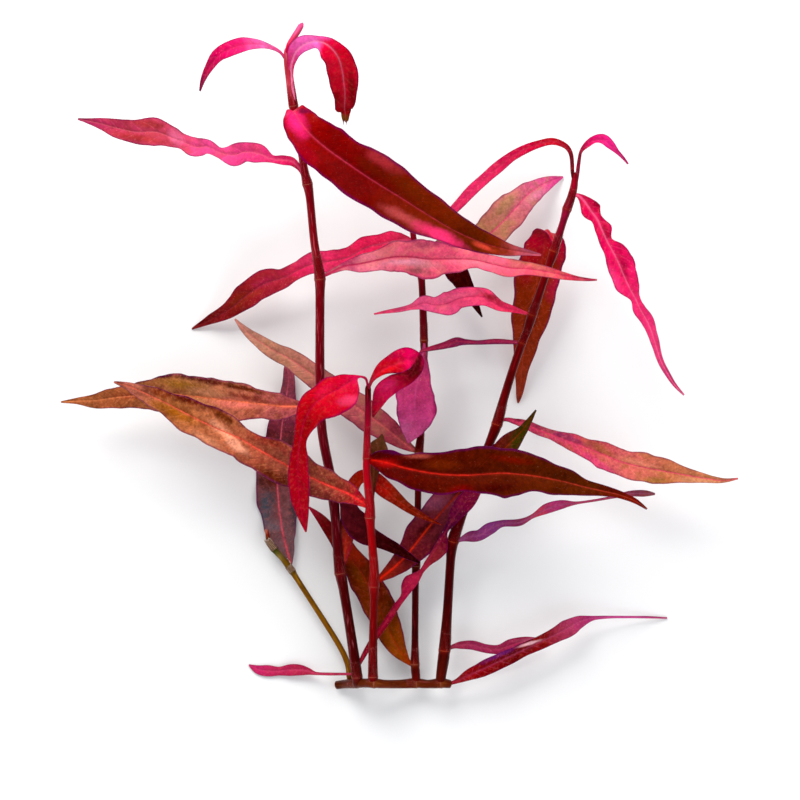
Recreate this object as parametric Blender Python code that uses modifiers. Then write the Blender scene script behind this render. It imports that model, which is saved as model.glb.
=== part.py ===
"""Sao paulo persicaria: four leafy shoots and a broken one on a short creeping stem, lying on a surface.

The plant lies on its back: its tips point along +Y, and the side that faces up is the one it shows.
Stems and leaves are laid out on a drawing of the plant seen from above. A drawn point is
(across, down) in drawing steps, and its height above the surface is in millimetres.
"""

import math
from dataclasses import dataclass

import bmesh
import bpy
from mathutils import Vector

# Driving dimensions, in metres
PLANT_WIDTH = 0.2253          # from the left leaf tip to the right one
GAP = 0.0003                  # between a leaf's base and its stem
LEAF_THICKNESS = 0.0006
VIEW_HEIGHT = 1.511           # height from which the drawing is seen
TRUE_HEIGHT = 0.030           # height at which the drawing has its true scale

# The drawing
DRAWN_WIDTH = 676.0           # the plant's width, in drawing steps
STEP = PLANT_WIDTH / DRAWN_WIDTH
EYE = (400.0, 400.0)          # the drawn point that the view is centred on
ORIGIN_DOWN = 360.0           # the row of the drawing that lies over the origin
MILLIMETRE = 0.001

# How finely the pieces are faceted
STEM_RING_SPACING = 18.0      # drawing steps
LEAF_RING_SPACING = 14.0
FEWEST_LEAF_RINGS = 8
STEM_BEVEL_RESOLUTION = 2     # gives eight sides

# How finely the shapes are measured
AXIS_SAMPLES = 200            # points on a stem's axis
TANGENT_REACH = 0.01          # parts of a leaf's length, as the next one
TRIM_STEP = 0.001


@dataclass(frozen=True)
class Stem:
    """A stem: points (across, down, height in mm, radius in drawing steps) from the tip to the foot."""

    name: str
    colour: tuple
    points: tuple


@dataclass(frozen=True)
class Leaf:
    """A leaf: stations (across, down, height in mm, left half width, right half width) from its base.

    The first station lies on the axis of the stem that carries the leaf. Left and right are as
    seen by someone who walks from the base to the tip. fold lifts both margins, in degrees, and
    roll lifts the left one and lowers the right one, at the base and at the tip. face is the way
    that the seen side faces at the base, for a leaf that leaves its stem towards or away from
    the viewer; it turns upwards until the place face_until along the leaf.
    """

    name: str
    stem: str
    colour: tuple
    stations: tuple
    fold: float = 8.0
    roll: tuple = (0.0, 0.0)
    face: tuple = (0.0, 0.0, 1.0)
    face_until: float = 0.2


STEMS = (
    Stem("rootstock", (0.16, 0.04, 0.02), (
        (337, 685, 1.25, 4.3), (345, 684, 3.2, 4.5), (357, 683, 7.6, 5.2), (366, 683, 10.2, 4.5),
        (374, 683, 11.6, 5.2), (385, 684, 9.8, 4.4), (400, 684, 6.8, 4.5), (416, 683, 5.6, 5.2),
        (428, 684, 6.4, 4.4), (441, 683, 7.6, 5.2), (450, 684, 6.6, 4.2))),
    Stem("tall_stem", (0.22, 0.006, 0.02), (
        (286, 49, 43.8, 2.8), (287.5, 61, 43.1, 3.2), (292, 100, 41.0, 3.4), (295, 114, 40.2, 3.6),
        (304, 168, 37.2, 3.9), (307.5, 184, 36.3, 5.2), (310, 199, 35.5, 4.1), (314, 240, 33.2, 4.1),
        (318, 264, 31.9, 4.6), (320, 279, 31.0, 5.6), (320, 300, 29.8, 4.6), (320, 380, 25.4, 4.7),
        (322, 430, 22.6, 4.8), (330.5, 476, 20.1, 4.9), (333, 494, 19.1, 5.6), (335.5, 520, 17.7, 4.8),
        (338.5, 556, 15.6, 5.2), (340.5, 573, 14.7, 6.0), (344, 592, 13.6, 4.9), (351, 635, 11.3, 5.0),
        (357, 676.5, 9.0, 5.2))),
    Stem("front_stem", (0.42, 0.01, 0.016), (
        (368, 384, 32.9, 3.0), (368, 411, 30.9, 3.2), (367, 440, 28.8, 3.5), (367, 458, 27.6, 4.2),
        (367, 474, 26.4, 3.9), (370, 504, 24.3, 4.6), (370, 517, 23.4, 5.3), (371, 530, 22.4, 4.1),
        (374, 566, 19.9, 4.6), (374, 586, 18.5, 5.4), (374, 600, 17.5, 4.0), (373, 640, 14.6, 4.2),
        (373, 676.5, 12.0, 4.5))),
    Stem("middle_stem", (0.13, 0.006, 0.016), (
        (413, 233, 19.9, 2.8), (416, 252, 19.3, 3.2), (420, 270, 18.7, 4.4), (422, 286, 18.2, 3.5),
        (424, 340, 16.5, 4.1), (424, 360, 15.9, 3.6), (421, 430, 13.7, 3.7), (419, 452, 13.0, 4.5),
        (418.5, 472, 12.4, 3.5), (417, 548, 10.0, 3.6), (416, 566, 9.5, 4.4), (415.5, 584, 8.9, 3.5),
        (415, 640, 7.2, 3.6), (415, 664, 6.4, 4.6), (416, 676.5, 6.0, 3.8))),
    Stem("right_stem", (0.10, 0.005, 0.012), (
        (575, 161, 33.4, 3.0), (574, 178, 32.6, 3.3), (572, 194, 31.8, 4.5), (567, 210, 31.0, 3.5),
        (560, 232, 29.9, 3.7), (554, 251, 29.0, 4.8), (548, 268, 28.2, 3.8), (538, 298, 26.7, 4.1),
        (532, 315, 25.9, 5.0), (527, 331, 25.1, 4.2), (522, 343, 24.5, 4.3), (514, 366, 23.3, 4.2),
        (504, 398, 21.8, 4.5), (497, 424, 20.5, 5.6), (490, 442, 19.6, 4.6), (480, 468, 18.3, 4.7),
        (463, 512, 16.1, 4.9), (453, 541, 14.7, 6.0), (450.5, 562, 13.7, 4.6), (447.5, 610, 11.3, 4.8),
        (444.5, 650, 9.3, 6.0), (441, 676.5, 8.0, 4.9))),
    Stem("broken_stem", (0.10, 0.055, 0.015), (
        (267, 532, 5.6, 1.8), (269, 542, 5.5, 2.8), (274, 549, 5.5, 3.4), (283, 559, 5.4, 3.0),
        (292, 571, 5.3, 3.6), (299, 582, 5.2, 2.8), (336, 640, 4.9, 2.9), (347, 662, 4.8, 3.0),
        (350, 676.5, 4.6, 3.1))),
)

# The rolled young leaf on top of the tall stem, given like a stem
BUD = Stem("tall_bud", (0.75, 0.02, 0.12), (
    (303, 22, 46.2, 0.9), (301, 26, 46.0, 2.3), (297, 32, 45.6, 3.6), (292, 38, 45.1, 3.7),
    (288, 43, 44.7, 2.6), (286, 46.5, 44.3, 1.9)))

TALL_LEAVES = (
    Leaf("tall_top_leaf_left", "tall_stem", (0.80, 0.02, 0.10), (
        (287, 62, 43.0, 1.4, 1.4), (280, 52, 44.5, 1.5, 1.5), (268, 46, 45.5, 3.0, 2.5),
        (256, 44, 46.0, 5.0, 5.0), (243, 45, 45.5, 7.0, 7.5), (230, 49, 44.0, 7.5, 8.0),
        (218, 56, 42.0, 6.0, 7.0), (209, 68, 39.0, 4.0, 4.5), (203, 80, 36.0, 2.5, 2.5),
        (200, 91, 33.0, 0.8, 0.8)), roll=(0.0, 20.0)),
    Leaf("tall_top_leaf_right", "tall_stem", (0.55, 0.01, 0.04), (
        (289, 70, 42.7, 1.4, 1.4), (292, 60, 44.5, 2.5, 2.0), (296, 49, 46.5, 6.0, 4.0),
        (306, 42, 48.0, 8.0, 7.0), (318, 41, 49.0, 7.0, 8.0), (329, 46, 49.0, 9.0, 11.0),
        (338, 57, 47.0, 13.0, 14.0), (342, 70, 44.0, 15.0, 14.0), (344, 84, 41.0, 14.0, 14.0),
        (345, 98, 38.0, 12.0, 13.0), (344.5, 108, 36.0, 7.0, 9.0), (345, 116, 34.8, 4.0, 4.0),
        (346, 121, 34.0, 2.5, 2.5)), fold=5.0),
    Leaf("tall_front_leaf", "tall_stem", (0.28, 0.012, 0.014), (
        (295.5, 114, 40.2, 1.5, 1.5), (293, 111, 44.0, 3.5, 4.0), (295, 113, 47.5, 11.0, 11.0),
        (301, 123, 50.0, 16.0, 18.0), (311, 135, 52.5, 20.0, 21.0), (326, 148, 55.0, 23.0, 24.0),
        (344, 161, 58.0, 24.0, 25.0), (372, 180, 62.0, 27.0, 26.0), (398, 196, 65.5, 25.0, 26.0),
        (428, 215, 69.0, 20.0, 22.0), (455, 231, 72.0, 16.0, 15.0), (483, 243, 74.5, 12.0, 10.0),
        (505, 249, 76.0, 7.0, 7.0), (523, 252, 77.0, 3.5, 3.5), (541, 255, 77.5, 0.8, 0.8)),
        fold=12.0, face=(0.0, 1.0, 1.2)),
    Leaf("tall_left_leaf", "tall_stem", (0.68, 0.03, 0.08), (
        (305, 184, 36.3, 1.5, 1.5), (301, 171, 37.5, 2.0, 2.0), (293, 162, 38.0, 4.5, 4.0),
        (283, 160, 38.0, 5.0, 4.5), (272, 159, 38.0, 4.0, 4.0), (260, 154, 38.5, 9.0, 9.0),
        (246, 152, 39.0, 10.0, 10.0), (233, 155, 39.0, 11.0, 10.5), (220, 153, 38.5, 5.5, 5.5),
        (208, 147, 38.5, 7.0, 7.0), (195, 147, 38.5, 10.0, 9.5), (182, 141.5, 38.0, 7.5, 8.0),
        (170, 137, 38.0, 10.5, 11.0), (155, 132, 37.5, 14.0, 14.0), (136, 132, 37.0, 12.0, 12.0),
        (118, 128.5, 36.0, 9.5, 9.5), (100, 123.5, 35.0, 5.5, 5.5), (88, 121, 34.2, 2.7, 2.7),
        (78, 119, 33.5, 0.8, 0.8)), fold=10.0),
    Leaf("tall_long_leaf", "tall_stem", (0.72, 0.06, 0.10), (
        (320, 278, 31.0, 1.4, 1.4), (332, 272, 32.0, 2.5, 2.0), (345, 266, 33.0, 4.0, 4.5),
        (359, 264, 33.5, 8.5, 8.5), (378, 260, 34.0, 10.0, 11.0), (394, 257, 34.5, 15.0, 15.0),
        (411, 257, 35.0, 17.0, 17.0), (427, 259, 35.5, 19.0, 21.0), (443, 259, 36.0, 16.0, 16.0),
        (460, 259, 36.5, 11.5, 13.0), (476, 260, 37.0, 8.0, 8.0), (492, 264, 37.5, 8.5, 8.5),
        (510, 268, 38.5, 9.0, 9.0), (528, 269, 39.5, 7.0, 6.0), (548, 272, 41.0, 5.0, 5.5),
        (565, 276, 42.5, 3.5, 4.0), (581, 279, 44.0, 2.0, 2.0), (597, 280, 45.0, 0.8, 0.8)),
        fold=10.0),
    Leaf("tall_low_leaf", "tall_stem", (0.30, 0.10, 0.035), (
        (321, 410, 23.8, 1.4, 1.4), (310, 408, 23.6, 4.0, 4.0), (297, 406.5, 23.2, 8.0, 6.5),
        (282, 406, 22.7, 14.0, 12.0), (262, 404, 22.0, 15.0, 14.0), (244, 402, 21.3, 19.0, 18.0),
        (225, 400, 20.7, 21.0, 20.0), (207, 398, 20.2, 20.0, 20.0), (190, 396, 19.7, 19.0, 21.0),
        (170, 394, 19.2, 18.0, 20.0), (150, 394.5, 18.7, 16.0, 15.5), (132, 396, 18.2, 12.0, 11.5),
        (112, 398, 17.8, 10.5, 10.0), (95, 400.5, 17.4, 8.0, 6.5), (78, 401, 17.2, 3.5, 3.5),
        (61, 402, 17.0, 0.8, 0.8)), fold=6.0),
    Leaf("tall_dark_leaf", "tall_stem", (0.07, 0.008, 0.016), (
        (333.5, 493, 19.1, 1.3, 1.3), (341, 502, 18.9, 6.0, 2.0), (348, 512, 18.6, 11.0, 9.0),
        (356, 523, 18.3, 13.0, 13.0), (366, 533, 18.2, 10.0, 12.0), (380, 541.5, 18.1, 8.0, 7.0),
        (395, 549, 18.0, 6.5, 5.0), (408, 556, 17.9, 4.0, 3.5), (420, 563, 17.8, 0.8, 0.8)),
        fold=3.0),
    Leaf("tall_arched_leaf", "tall_stem", (0.38, 0.06, 0.02), (
        (340.5, 573, 14.7, 1.3, 1.3), (344, 558, 15.2, 3.0, 3.5), (346, 541, 15.6, 6.0, 7.0),
        (348, 522, 16.0, 8.0, 9.0), (350, 504, 16.7, 9.0, 8.0), (354, 489, 17.6, 9.0, 5.0),
        (362, 479, 18.6, 9.0, 4.0), (373, 480, 19.2, 9.0, 8.0), (384, 488, 19.3, 8.5, 9.0),
        (396, 499, 19.2, 7.0, 6.0), (408, 508, 19.0, 5.0, 4.5), (420, 515, 18.7, 4.0, 3.5),
        (431, 520.5, 18.5, 2.5, 2.0), (442, 525, 18.4, 0.8, 0.8)), fold=3.0),
    Leaf("tall_ribbon_leaf", "tall_stem", (0.58, 0.012, 0.06), (
        (357.5, 668, 9.5, 1.3, 1.3), (364, 655, 10.0, 2.5, 2.5), (371, 643, 10.3, 3.0, 3.0),
        (379, 632, 10.4, 3.0, 4.0), (388, 619, 10.5, 4.0, 5.0), (398, 605, 10.9, 6.0, 5.0),
        (405, 595, 11.4, 6.0, 4.5), (411, 586, 12.0, 9.0, 7.0), (418, 577, 12.6, 5.5, 7.0),
        (425, 567, 13.8, 4.0, 6.0), (432, 556, 15.2, 4.0, 9.0), (439, 544, 16.6, 4.0, 9.0),
        (446, 531, 17.6, 5.0, 6.0), (455, 517, 19.1, 8.0, 8.0), (468, 499, 21.6, 9.0, 10.0),
        (478, 488, 23.2, 4.0, 5.0), (484, 481, 24.0, 0.8, 0.8)), fold=3.0),
    Leaf("tall_foot_leaf", "tall_stem", (0.68, 0.03, 0.08), (
        (357, 674, 9.1, 1.2, 1.2), (345, 674, 7.6, 1.3, 1.3), (330, 674, 5.4, 1.5, 1.5),
        (316, 673.5, 3.4, 1.6, 1.8), (308, 671, 2.6, 4.0, 3.5), (300, 670, 2.0, 5.5, 5.5),
        (290, 670, 1.4, 6.0, 6.0), (280, 671, 1.0, 4.5, 4.5), (268, 671, 0.6, 5.5, 6.0),
        (258, 669, 0.3, 5.0, 4.0), (249, 665, 0.3, 0.8, 0.8)), fold=4.0),
)

FRONT_LEAVES = (
    Leaf("front_top_leaf_left", "front_stem", (0.62, 0.006, 0.03), (
        (368, 388, 32.6, 1.2, 1.2), (365.5, 378.5, 34.0, 1.3, 1.3), (357, 377, 35.2, 2.5, 2.0),
        (349, 382, 36.0, 17.0, 9.0), (336, 390, 36.8, 24.0, 15.0), (323, 397, 37.0, 23.0, 14.0),
        (312, 407, 36.6, 19.0, 14.0), (304, 422, 35.6, 13.0, 9.0), (300, 440, 34.5, 7.0, 6.0),
        (298, 458, 33.5, 10.0, 8.0), (298, 477, 32.5, 11.0, 10.0), (299, 495, 31.5, 10.5, 9.0),
        (302, 513, 31.0, 7.0, 6.0), (306, 532, 30.5, 0.8, 0.8)), fold=5.0),
    Leaf("front_top_leaf_right", "front_stem", (0.60, 0.01, 0.04), (
        (368, 392, 32.3, 1.2, 1.2), (373, 378.5, 35.0, 2.5, 2.5), (385, 369, 36.5, 8.0, 7.0),
        (399, 363, 37.2, 12.0, 12.0), (411, 361, 36.8, 12.0, 7.0), (419, 364, 35.0, 9.0, 3.5),
        (416, 373, 32.6, 8.0, 3.5), (406, 381, 31.0, 7.0, 7.0), (394, 388, 30.2, 6.0, 8.0),
        (384, 396, 29.7, 6.0, 6.0), (377, 406, 29.4, 4.0, 4.0), (372.5, 417, 30.4, 0.8, 0.8)),
        fold=3.0),
    Leaf("front_left_leaf", "front_stem", (0.42, 0.11, 0.035), (
        (370, 508, 24.0, 1.4, 1.4), (359, 500, 24.3, 6.0, 6.0), (350, 494.5, 24.6, 10.0, 10.0),
        (340, 490, 24.9, 13.0, 12.0), (325, 484, 25.4, 16.0, 15.0), (308, 476, 26.0, 18.0, 16.0),
        (290, 467, 26.8, 20.0, 20.0), (272, 457, 27.6, 21.0, 19.0), (256, 448, 28.5, 20.0, 14.0),
        (241, 439, 29.5, 20.0, 12.0), (225, 432, 30.8, 19.0, 19.0), (205, 423, 32.3, 18.0, 18.0),
        (186, 413.5, 33.8, 17.0, 16.5), (168, 404, 35.2, 12.0, 12.0), (152, 396.5, 36.6, 9.5, 10.0),
        (138, 390, 38.0, 7.0, 6.0), (126, 385.5, 39.2, 3.5, 3.5), (114, 382, 40.2, 0.8, 0.8)),
        fold=8.0),
    Leaf("front_dark_leaf", "front_stem", (0.12, 0.012, 0.008), (
        (367, 460, 27.4, 1.4, 1.4), (377, 460.5, 29.2, 9.0, 8.0), (389, 463, 30.8, 13.0, 14.0),
        (402, 467, 32.3, 13.5, 15.0), (420, 471, 33.8, 18.0, 20.0), (440, 474, 35.3, 22.0, 21.0),
        (464, 475, 37.2, 27.0, 16.0), (484, 474, 39.0, 27.0, 20.0), (502, 473, 40.5, 26.0, 24.0),
        (518, 474, 42.0, 24.0, 22.0), (535, 476, 43.6, 20.0, 16.0), (552, 479, 45.2, 16.0, 15.0),
        (568, 482.5, 46.6, 13.0, 13.0), (585, 487, 48.2, 7.5, 9.0), (603, 491, 49.6, 6.0, 5.0),
        (620, 495, 51.0, 4.0, 3.5), (635, 501, 52.2, 2.7, 2.5), (647, 509, 53.0, 0.8, 0.8)),
        fold=12.0),
    Leaf("front_small_leaf", "front_stem", (0.20, 0.08, 0.03), (
        (370, 517, 23.4, 1.2, 1.2), (371, 510, 21.3, 2.0, 2.0), (372, 500, 20.9, 5.0, 5.0),
        (373, 485, 21.0, 8.0, 9.0), (375, 468, 21.2, 11.5, 13.0), (376, 456, 21.4, 12.5, 13.0),
        (378.5, 446, 21.5, 8.5, 10.0), (381, 439, 21.5, 3.5, 4.0), (382, 434, 21.5, 0.8, 0.8)),
        fold=2.0, face=(0.0, 1.0, 1.0)),
    Leaf("front_low_leaf", "front_stem", (0.16, 0.035, 0.03), (
        (374, 586, 18.5, 1.4, 1.4), (381, 578, 17.8, 3.5, 4.0), (391, 570, 16.4, 7.0, 8.0),
        (405, 557, 14.4, 11.0, 13.0), (421, 537, 13.9, 17.0, 17.0), (438, 516, 15.0, 18.0, 12.0),
        (454, 498, 18.4, 18.0, 9.0), (470, 480, 20.9, 16.0, 11.0), (486, 465, 22.2, 13.0, 14.0),
        (499, 454, 22.9, 11.0, 12.0), (510.5, 442.5, 23.4, 10.0, 10.0), (522, 430.5, 23.9, 5.0, 5.5),
        (529, 421, 24.2, 3.0, 3.0), (536, 410, 24.4, 0.8, 0.8)), fold=2.0),
)

MIDDLE_LEAVES = (
    Leaf("middle_top_leaf_left", "middle_stem", (0.60, 0.008, 0.05), (
        (414.5, 243, 19.6, 1.3, 1.3), (407, 240, 20.3, 4.0, 4.0), (395, 241, 20.8, 10.0, 10.0),
        (380, 244, 21.0, 10.0, 10.0), (365, 248, 21.0, 11.0, 11.0), (348, 257, 20.6, 10.5, 9.5),
        (330, 261, 19.7, 11.0, 11.0), (312, 264, 18.6, 10.0, 11.5), (298, 270, 17.2, 8.5, 8.5),
        (283, 278, 15.4, 10.5, 10.0), (265, 283.5, 12.8, 13.5, 14.0), (246, 296, 9.6, 12.5, 12.5),
        (228, 310.5, 6.0, 8.5, 8.0), (210, 320, 2.6, 4.5, 5.0), (192, 329, 0.3, 0.8, 0.8)),
        fold=6.0),
    Leaf("middle_top_leaf_right", "middle_stem", (0.58, 0.12, 0.10), (
        (418, 262, 19.0, 1.3, 1.3), (430, 250, 18.8, 4.0, 4.0), (447, 245, 18.2, 9.0, 10.0),
        (468, 243, 17.2, 13.0, 12.0), (488, 235, 15.6, 17.0, 15.0), (503, 221.5, 13.6, 20.0, 15.5),
        (516, 207.5, 11.2, 18.0, 14.5), (528, 194.5, 8.6, 12.0, 12.5), (540, 186, 5.8, 8.0, 10.0),
        (551, 181, 3.0, 5.0, 6.0), (563, 177, 0.3, 0.8, 0.8)), fold=6.0),
    Leaf("middle_dark_leaf", "middle_stem", (0.045, 0.006, 0.006), (
        (420, 271, 18.7, 1.3, 1.3), (433, 263, 18.0, 4.0, 4.0), (446, 265, 17.3, 8.0, 8.0),
        (457, 273, 16.5, 11.0, 11.0), (466, 287, 15.2, 8.0, 8.5), (475, 304, 13.2, 4.0, 4.0),
        (482, 317, 11.8, 0.8, 0.8)), fold=3.0),
    Leaf("middle_hanging_leaf", "middle_stem", (0.42, 0.035, 0.12), (
        (424, 342, 16.4, 1.3, 1.3), (424, 348, 18.8, 2.0, 2.0), (422, 360, 19.4, 6.0, 8.0),
        (419, 375, 19.8, 12.0, 15.0), (416, 390, 20.0, 17.0, 19.0), (415, 404, 19.8, 22.0, 19.0),
        (414, 417, 19.4, 20.0, 17.0), (412, 428, 18.9, 14.0, 13.0), (410, 437, 18.4, 6.0, 6.0),
        (408, 443, 18.0, 1.2, 1.2)), fold=4.0, face=(0.0, 1.0, 1.0)),
    Leaf("middle_tan_leaf", "middle_stem", (0.52, 0.20, 0.10), (
        (419, 452, 13.0, 1.3, 1.3), (409, 447, 13.0, 4.5, 4.5), (396, 436.5, 13.1, 10.0, 9.5),
        (380, 424, 13.4, 14.5, 13.0), (362, 411, 13.9, 16.0, 14.5), (344, 398.5, 14.3, 15.0, 14.0),
        (325, 384.5, 14.7, 12.5, 12.5), (306, 370, 15.1, 11.0, 11.5), (290, 359, 15.4, 9.5, 10.0),
        (272, 349.5, 15.7, 8.5, 8.0), (256, 339, 16.0, 6.0, 6.0), (244, 329, 16.2, 3.5, 3.5),
        (235, 319, 16.4, 0.8, 0.8)), fold=6.0),
    Leaf("middle_foot_leaf", "middle_stem", (0.32, 0.07, 0.012), (
        (415, 667, 6.3, 1.3, 1.3), (408, 661, 6.6, 3.5, 2.5), (399, 649, 6.9, 9.5, 8.0),
        (390, 632, 7.3, 13.0, 13.0), (382, 614, 7.8, 14.5, 16.0), (373, 596, 8.4, 15.5, 17.0),
        (364, 577, 8.9, 16.0, 15.0), (353, 560, 9.4, 13.5, 11.5), (341, 544, 9.9, 9.5, 10.0),
        (330, 530, 10.3, 6.5, 7.0), (319, 517, 10.6, 4.0, 4.5), (309, 507, 10.8, 0.8, 0.8)),
        fold=4.0),
)

RIGHT_LEAVES = (
    Leaf("right_top_leaf_left", "right_stem", (0.72, 0.015, 0.09), (
        (574.5, 168, 33.1, 1.2, 1.2), (572, 154, 33.8, 1.5, 2.0), (565, 146, 33.8, 2.5, 3.0),
        (553, 141.5, 33.2, 3.5, 3.5), (540, 143.5, 32.3, 4.0, 3.5), (526, 149, 31.4, 4.5, 4.5),
        (511, 157, 30.3, 5.0, 5.0), (497, 168.5, 29.2, 5.5, 6.0), (484, 180, 28.3, 5.0, 6.0),
        (470, 193, 27.2, 5.0, 6.0), (457, 206, 26.3, 5.0, 4.5), (444, 219, 25.6, 3.0, 3.0),
        (435, 228, 25.2, 0.8, 0.8)), fold=4.0, roll=(0.0, 25.0)),
    Leaf("right_top_leaf_right", "right_stem", (0.70, 0.015, 0.08), (
        (575, 164, 33.3, 1.2, 1.2), (580.5, 152, 33.9, 1.5, 1.5), (587, 144.5, 34.4, 3.5, 3.5),
        (595, 140, 34.5, 4.0, 3.5), (603, 140, 34.2, 5.0, 4.5), (610, 145, 33.7, 4.5, 4.0),
        (617, 152, 33.0, 2.2, 2.2), (623, 158, 32.2, 1.5, 1.5), (628, 164, 31.5, 0.8, 0.8)),
        fold=4.0, roll=(0.0, 20.0)),
    Leaf("right_hanging_leaf", "right_stem", (0.80, 0.015, 0.10), (
        (572, 194, 31.8, 1.2, 1.2), (579, 196, 32.5, 2.5, 2.5), (585, 202, 33.0, 6.5, 7.0),
        (591, 210, 33.2, 9.0, 9.0), (597, 220, 33.2, 5.5, 9.0), (603, 230, 33.1, 9.0, 9.0),
        (608, 242, 32.8, 10.0, 10.0), (615, 256, 32.2, 14.5, 13.0), (622, 272, 31.4, 14.0, 12.5),
        (629, 287, 30.6, 11.0, 11.5), (635, 298, 29.8, 5.0, 5.0), (640, 309, 29.2, 6.0, 6.5),
        (647, 321, 28.4, 7.0, 6.0), (652, 333, 27.4, 5.0, 5.0), (656, 346, 26.4, 4.0, 4.0),
        (660, 359, 25.4, 3.0, 3.5), (666, 371, 24.4, 2.5, 3.0), (674, 384, 23.2, 2.0, 2.0),
        (684, 395, 22.0, 0.8, 0.8)), fold=12.0),
    Leaf("right_back_leaf", "right_stem", (0.50, 0.03, 0.025), (
        (554, 251, 29.0, 1.3, 1.3), (552, 246, 25.6, 1.6, 1.6), (548, 240, 23.6, 6.0, 6.0),
        (546, 236, 21.2, 13.0, 11.0), (546, 239, 18.8, 19.0, 15.0), (546, 246, 17.0, 22.0, 20.0),
        (543, 257, 15.4, 24.0, 23.0), (539, 270, 14.0, 22.0, 24.0), (536, 286, 12.4, 22.0, 23.0),
        (533, 303, 10.8, 21.0, 21.0), (530, 320, 9.2, 18.0, 19.0), (527, 337, 7.6, 14.0, 15.0),
        (524, 353, 6.0, 11.0, 11.0), (522, 369, 4.5, 7.0, 7.5), (521, 384, 2.9, 4.5, 5.5),
        (519, 396, 1.4, 3.0, 3.0), (518, 403, 0.3, 0.8, 0.8)),
        fold=4.0, face=(0.0, -1.0, 0.5), face_until=1.5),
    Leaf("right_upper_leaf", "right_stem", (0.72, 0.03, 0.08), (
        (532, 315, 25.9, 1.2, 1.2), (522, 312, 26.0, 2.0, 2.0), (511, 309, 25.8, 3.5, 4.0),
        (501, 306.5, 25.6, 5.0, 5.5), (494, 302.5, 25.4, 6.5, 6.5), (484, 297, 25.1, 9.0, 9.0),
        (472, 296.5, 24.8, 9.5, 9.5), (459, 298.5, 24.4, 10.5, 10.5), (447, 303.5, 24.0, 12.0, 11.5),
        (435, 305, 23.7, 8.0, 8.0), (424, 303, 23.4, 7.5, 7.5), (412, 307, 23.0, 3.0, 3.5),
        (398, 310, 22.6, 2.3, 2.3), (385, 312, 22.3, 1.6, 1.6), (374, 314, 22.0, 0.8, 0.8)),
        fold=10.0),
    Leaf("right_thin_leaf", "right_stem", (0.26, 0.015, 0.04), (
        (522, 343, 24.5, 1.2, 1.2), (510, 342, 24.6, 2.0, 2.0), (495, 341.5, 24.4, 2.5, 2.5),
        (478, 342.5, 24.1, 2.0, 2.0), (465, 342, 23.7, 2.8, 2.8), (456, 342, 23.3, 4.5, 4.5),
        (444, 345.5, 22.9, 3.3, 3.3), (431, 348.5, 22.5, 2.2, 2.2), (420, 351.5, 22.2, 0.8, 0.8)),
        fold=0.0, roll=(50.0, 50.0)),
    Leaf("right_long_leaf", "right_stem", (0.66, 0.05, 0.06), (
        (497, 424, 20.5, 1.2, 1.2), (505, 419.5, 19.8, 1.8, 1.8), (515, 421.5, 19.0, 3.0, 3.0),
        (526, 424.5, 18.4, 4.5, 4.5), (538, 430, 18.2, 5.0, 5.0), (553, 435.5, 18.4, 5.5, 5.0),
        (570, 442, 19.0, 9.0, 8.0), (588, 448.5, 19.8, 9.5, 10.5), (603, 454.5, 20.6, 13.0, 14.0),
        (620, 461.5, 21.4, 12.5, 14.0), (642, 467, 22.5, 14.5, 15.0), (663, 471, 23.6, 13.0, 13.0),
        (685, 475, 24.8, 8.0, 8.0), (706, 478.5, 26.0, 4.5, 4.5), (723, 480.5, 27.0, 2.4, 2.4),
        (738, 478.5, 28.0, 0.8, 0.8)), fold=8.0),
    Leaf("right_wavy_leaf", "right_stem", (0.50, 0.06, 0.12), (
        (453.5, 543, 14.6, 1.2, 1.2), (461, 539.5, 15.0, 2.2, 2.2), (471, 536.5, 15.8, 5.5, 5.5),
        (480, 535, 16.2, 5.5, 5.5), (490, 528.5, 16.6, 6.0, 6.0), (502, 523.5, 17.0, 3.5, 3.5),
        (519, 522.5, 17.5, 3.5, 3.5), (532, 516.5, 17.9, 2.0, 2.0), (546, 509, 18.3, 5.0, 5.0),
        (561, 504.5, 18.7, 4.5, 4.5), (576, 503, 19.1, 1.4, 1.4), (594, 500.5, 19.5, 1.1, 1.1),
        (612, 497.2, 19.9, 1.3, 1.3), (629, 493.7, 20.3, 2.6, 2.6), (644, 493.3, 20.6, 3.2, 3.2),
        (655, 494, 20.8, 0.8, 0.8)), fold=0.0, roll=(35.0, 35.0)),
    Leaf("right_foot_leaf", "right_stem", (0.52, 0.015, 0.06), (
        (444.5, 651, 9.2, 1.2, 1.2), (453, 646.5, 9.0, 2.2, 2.2), (462, 645, 8.7, 4.0, 4.0),
        (473, 645, 8.4, 4.5, 5.0), (486, 648.5, 8.0, 4.5, 4.5), (499, 649, 7.6, 4.5, 5.0),
        (512, 644.5, 7.2, 6.0, 6.0), (526, 640.5, 6.8, 4.0, 4.0), (543, 639, 6.4, 0.8, 0.8)),
        fold=3.0),
)

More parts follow.
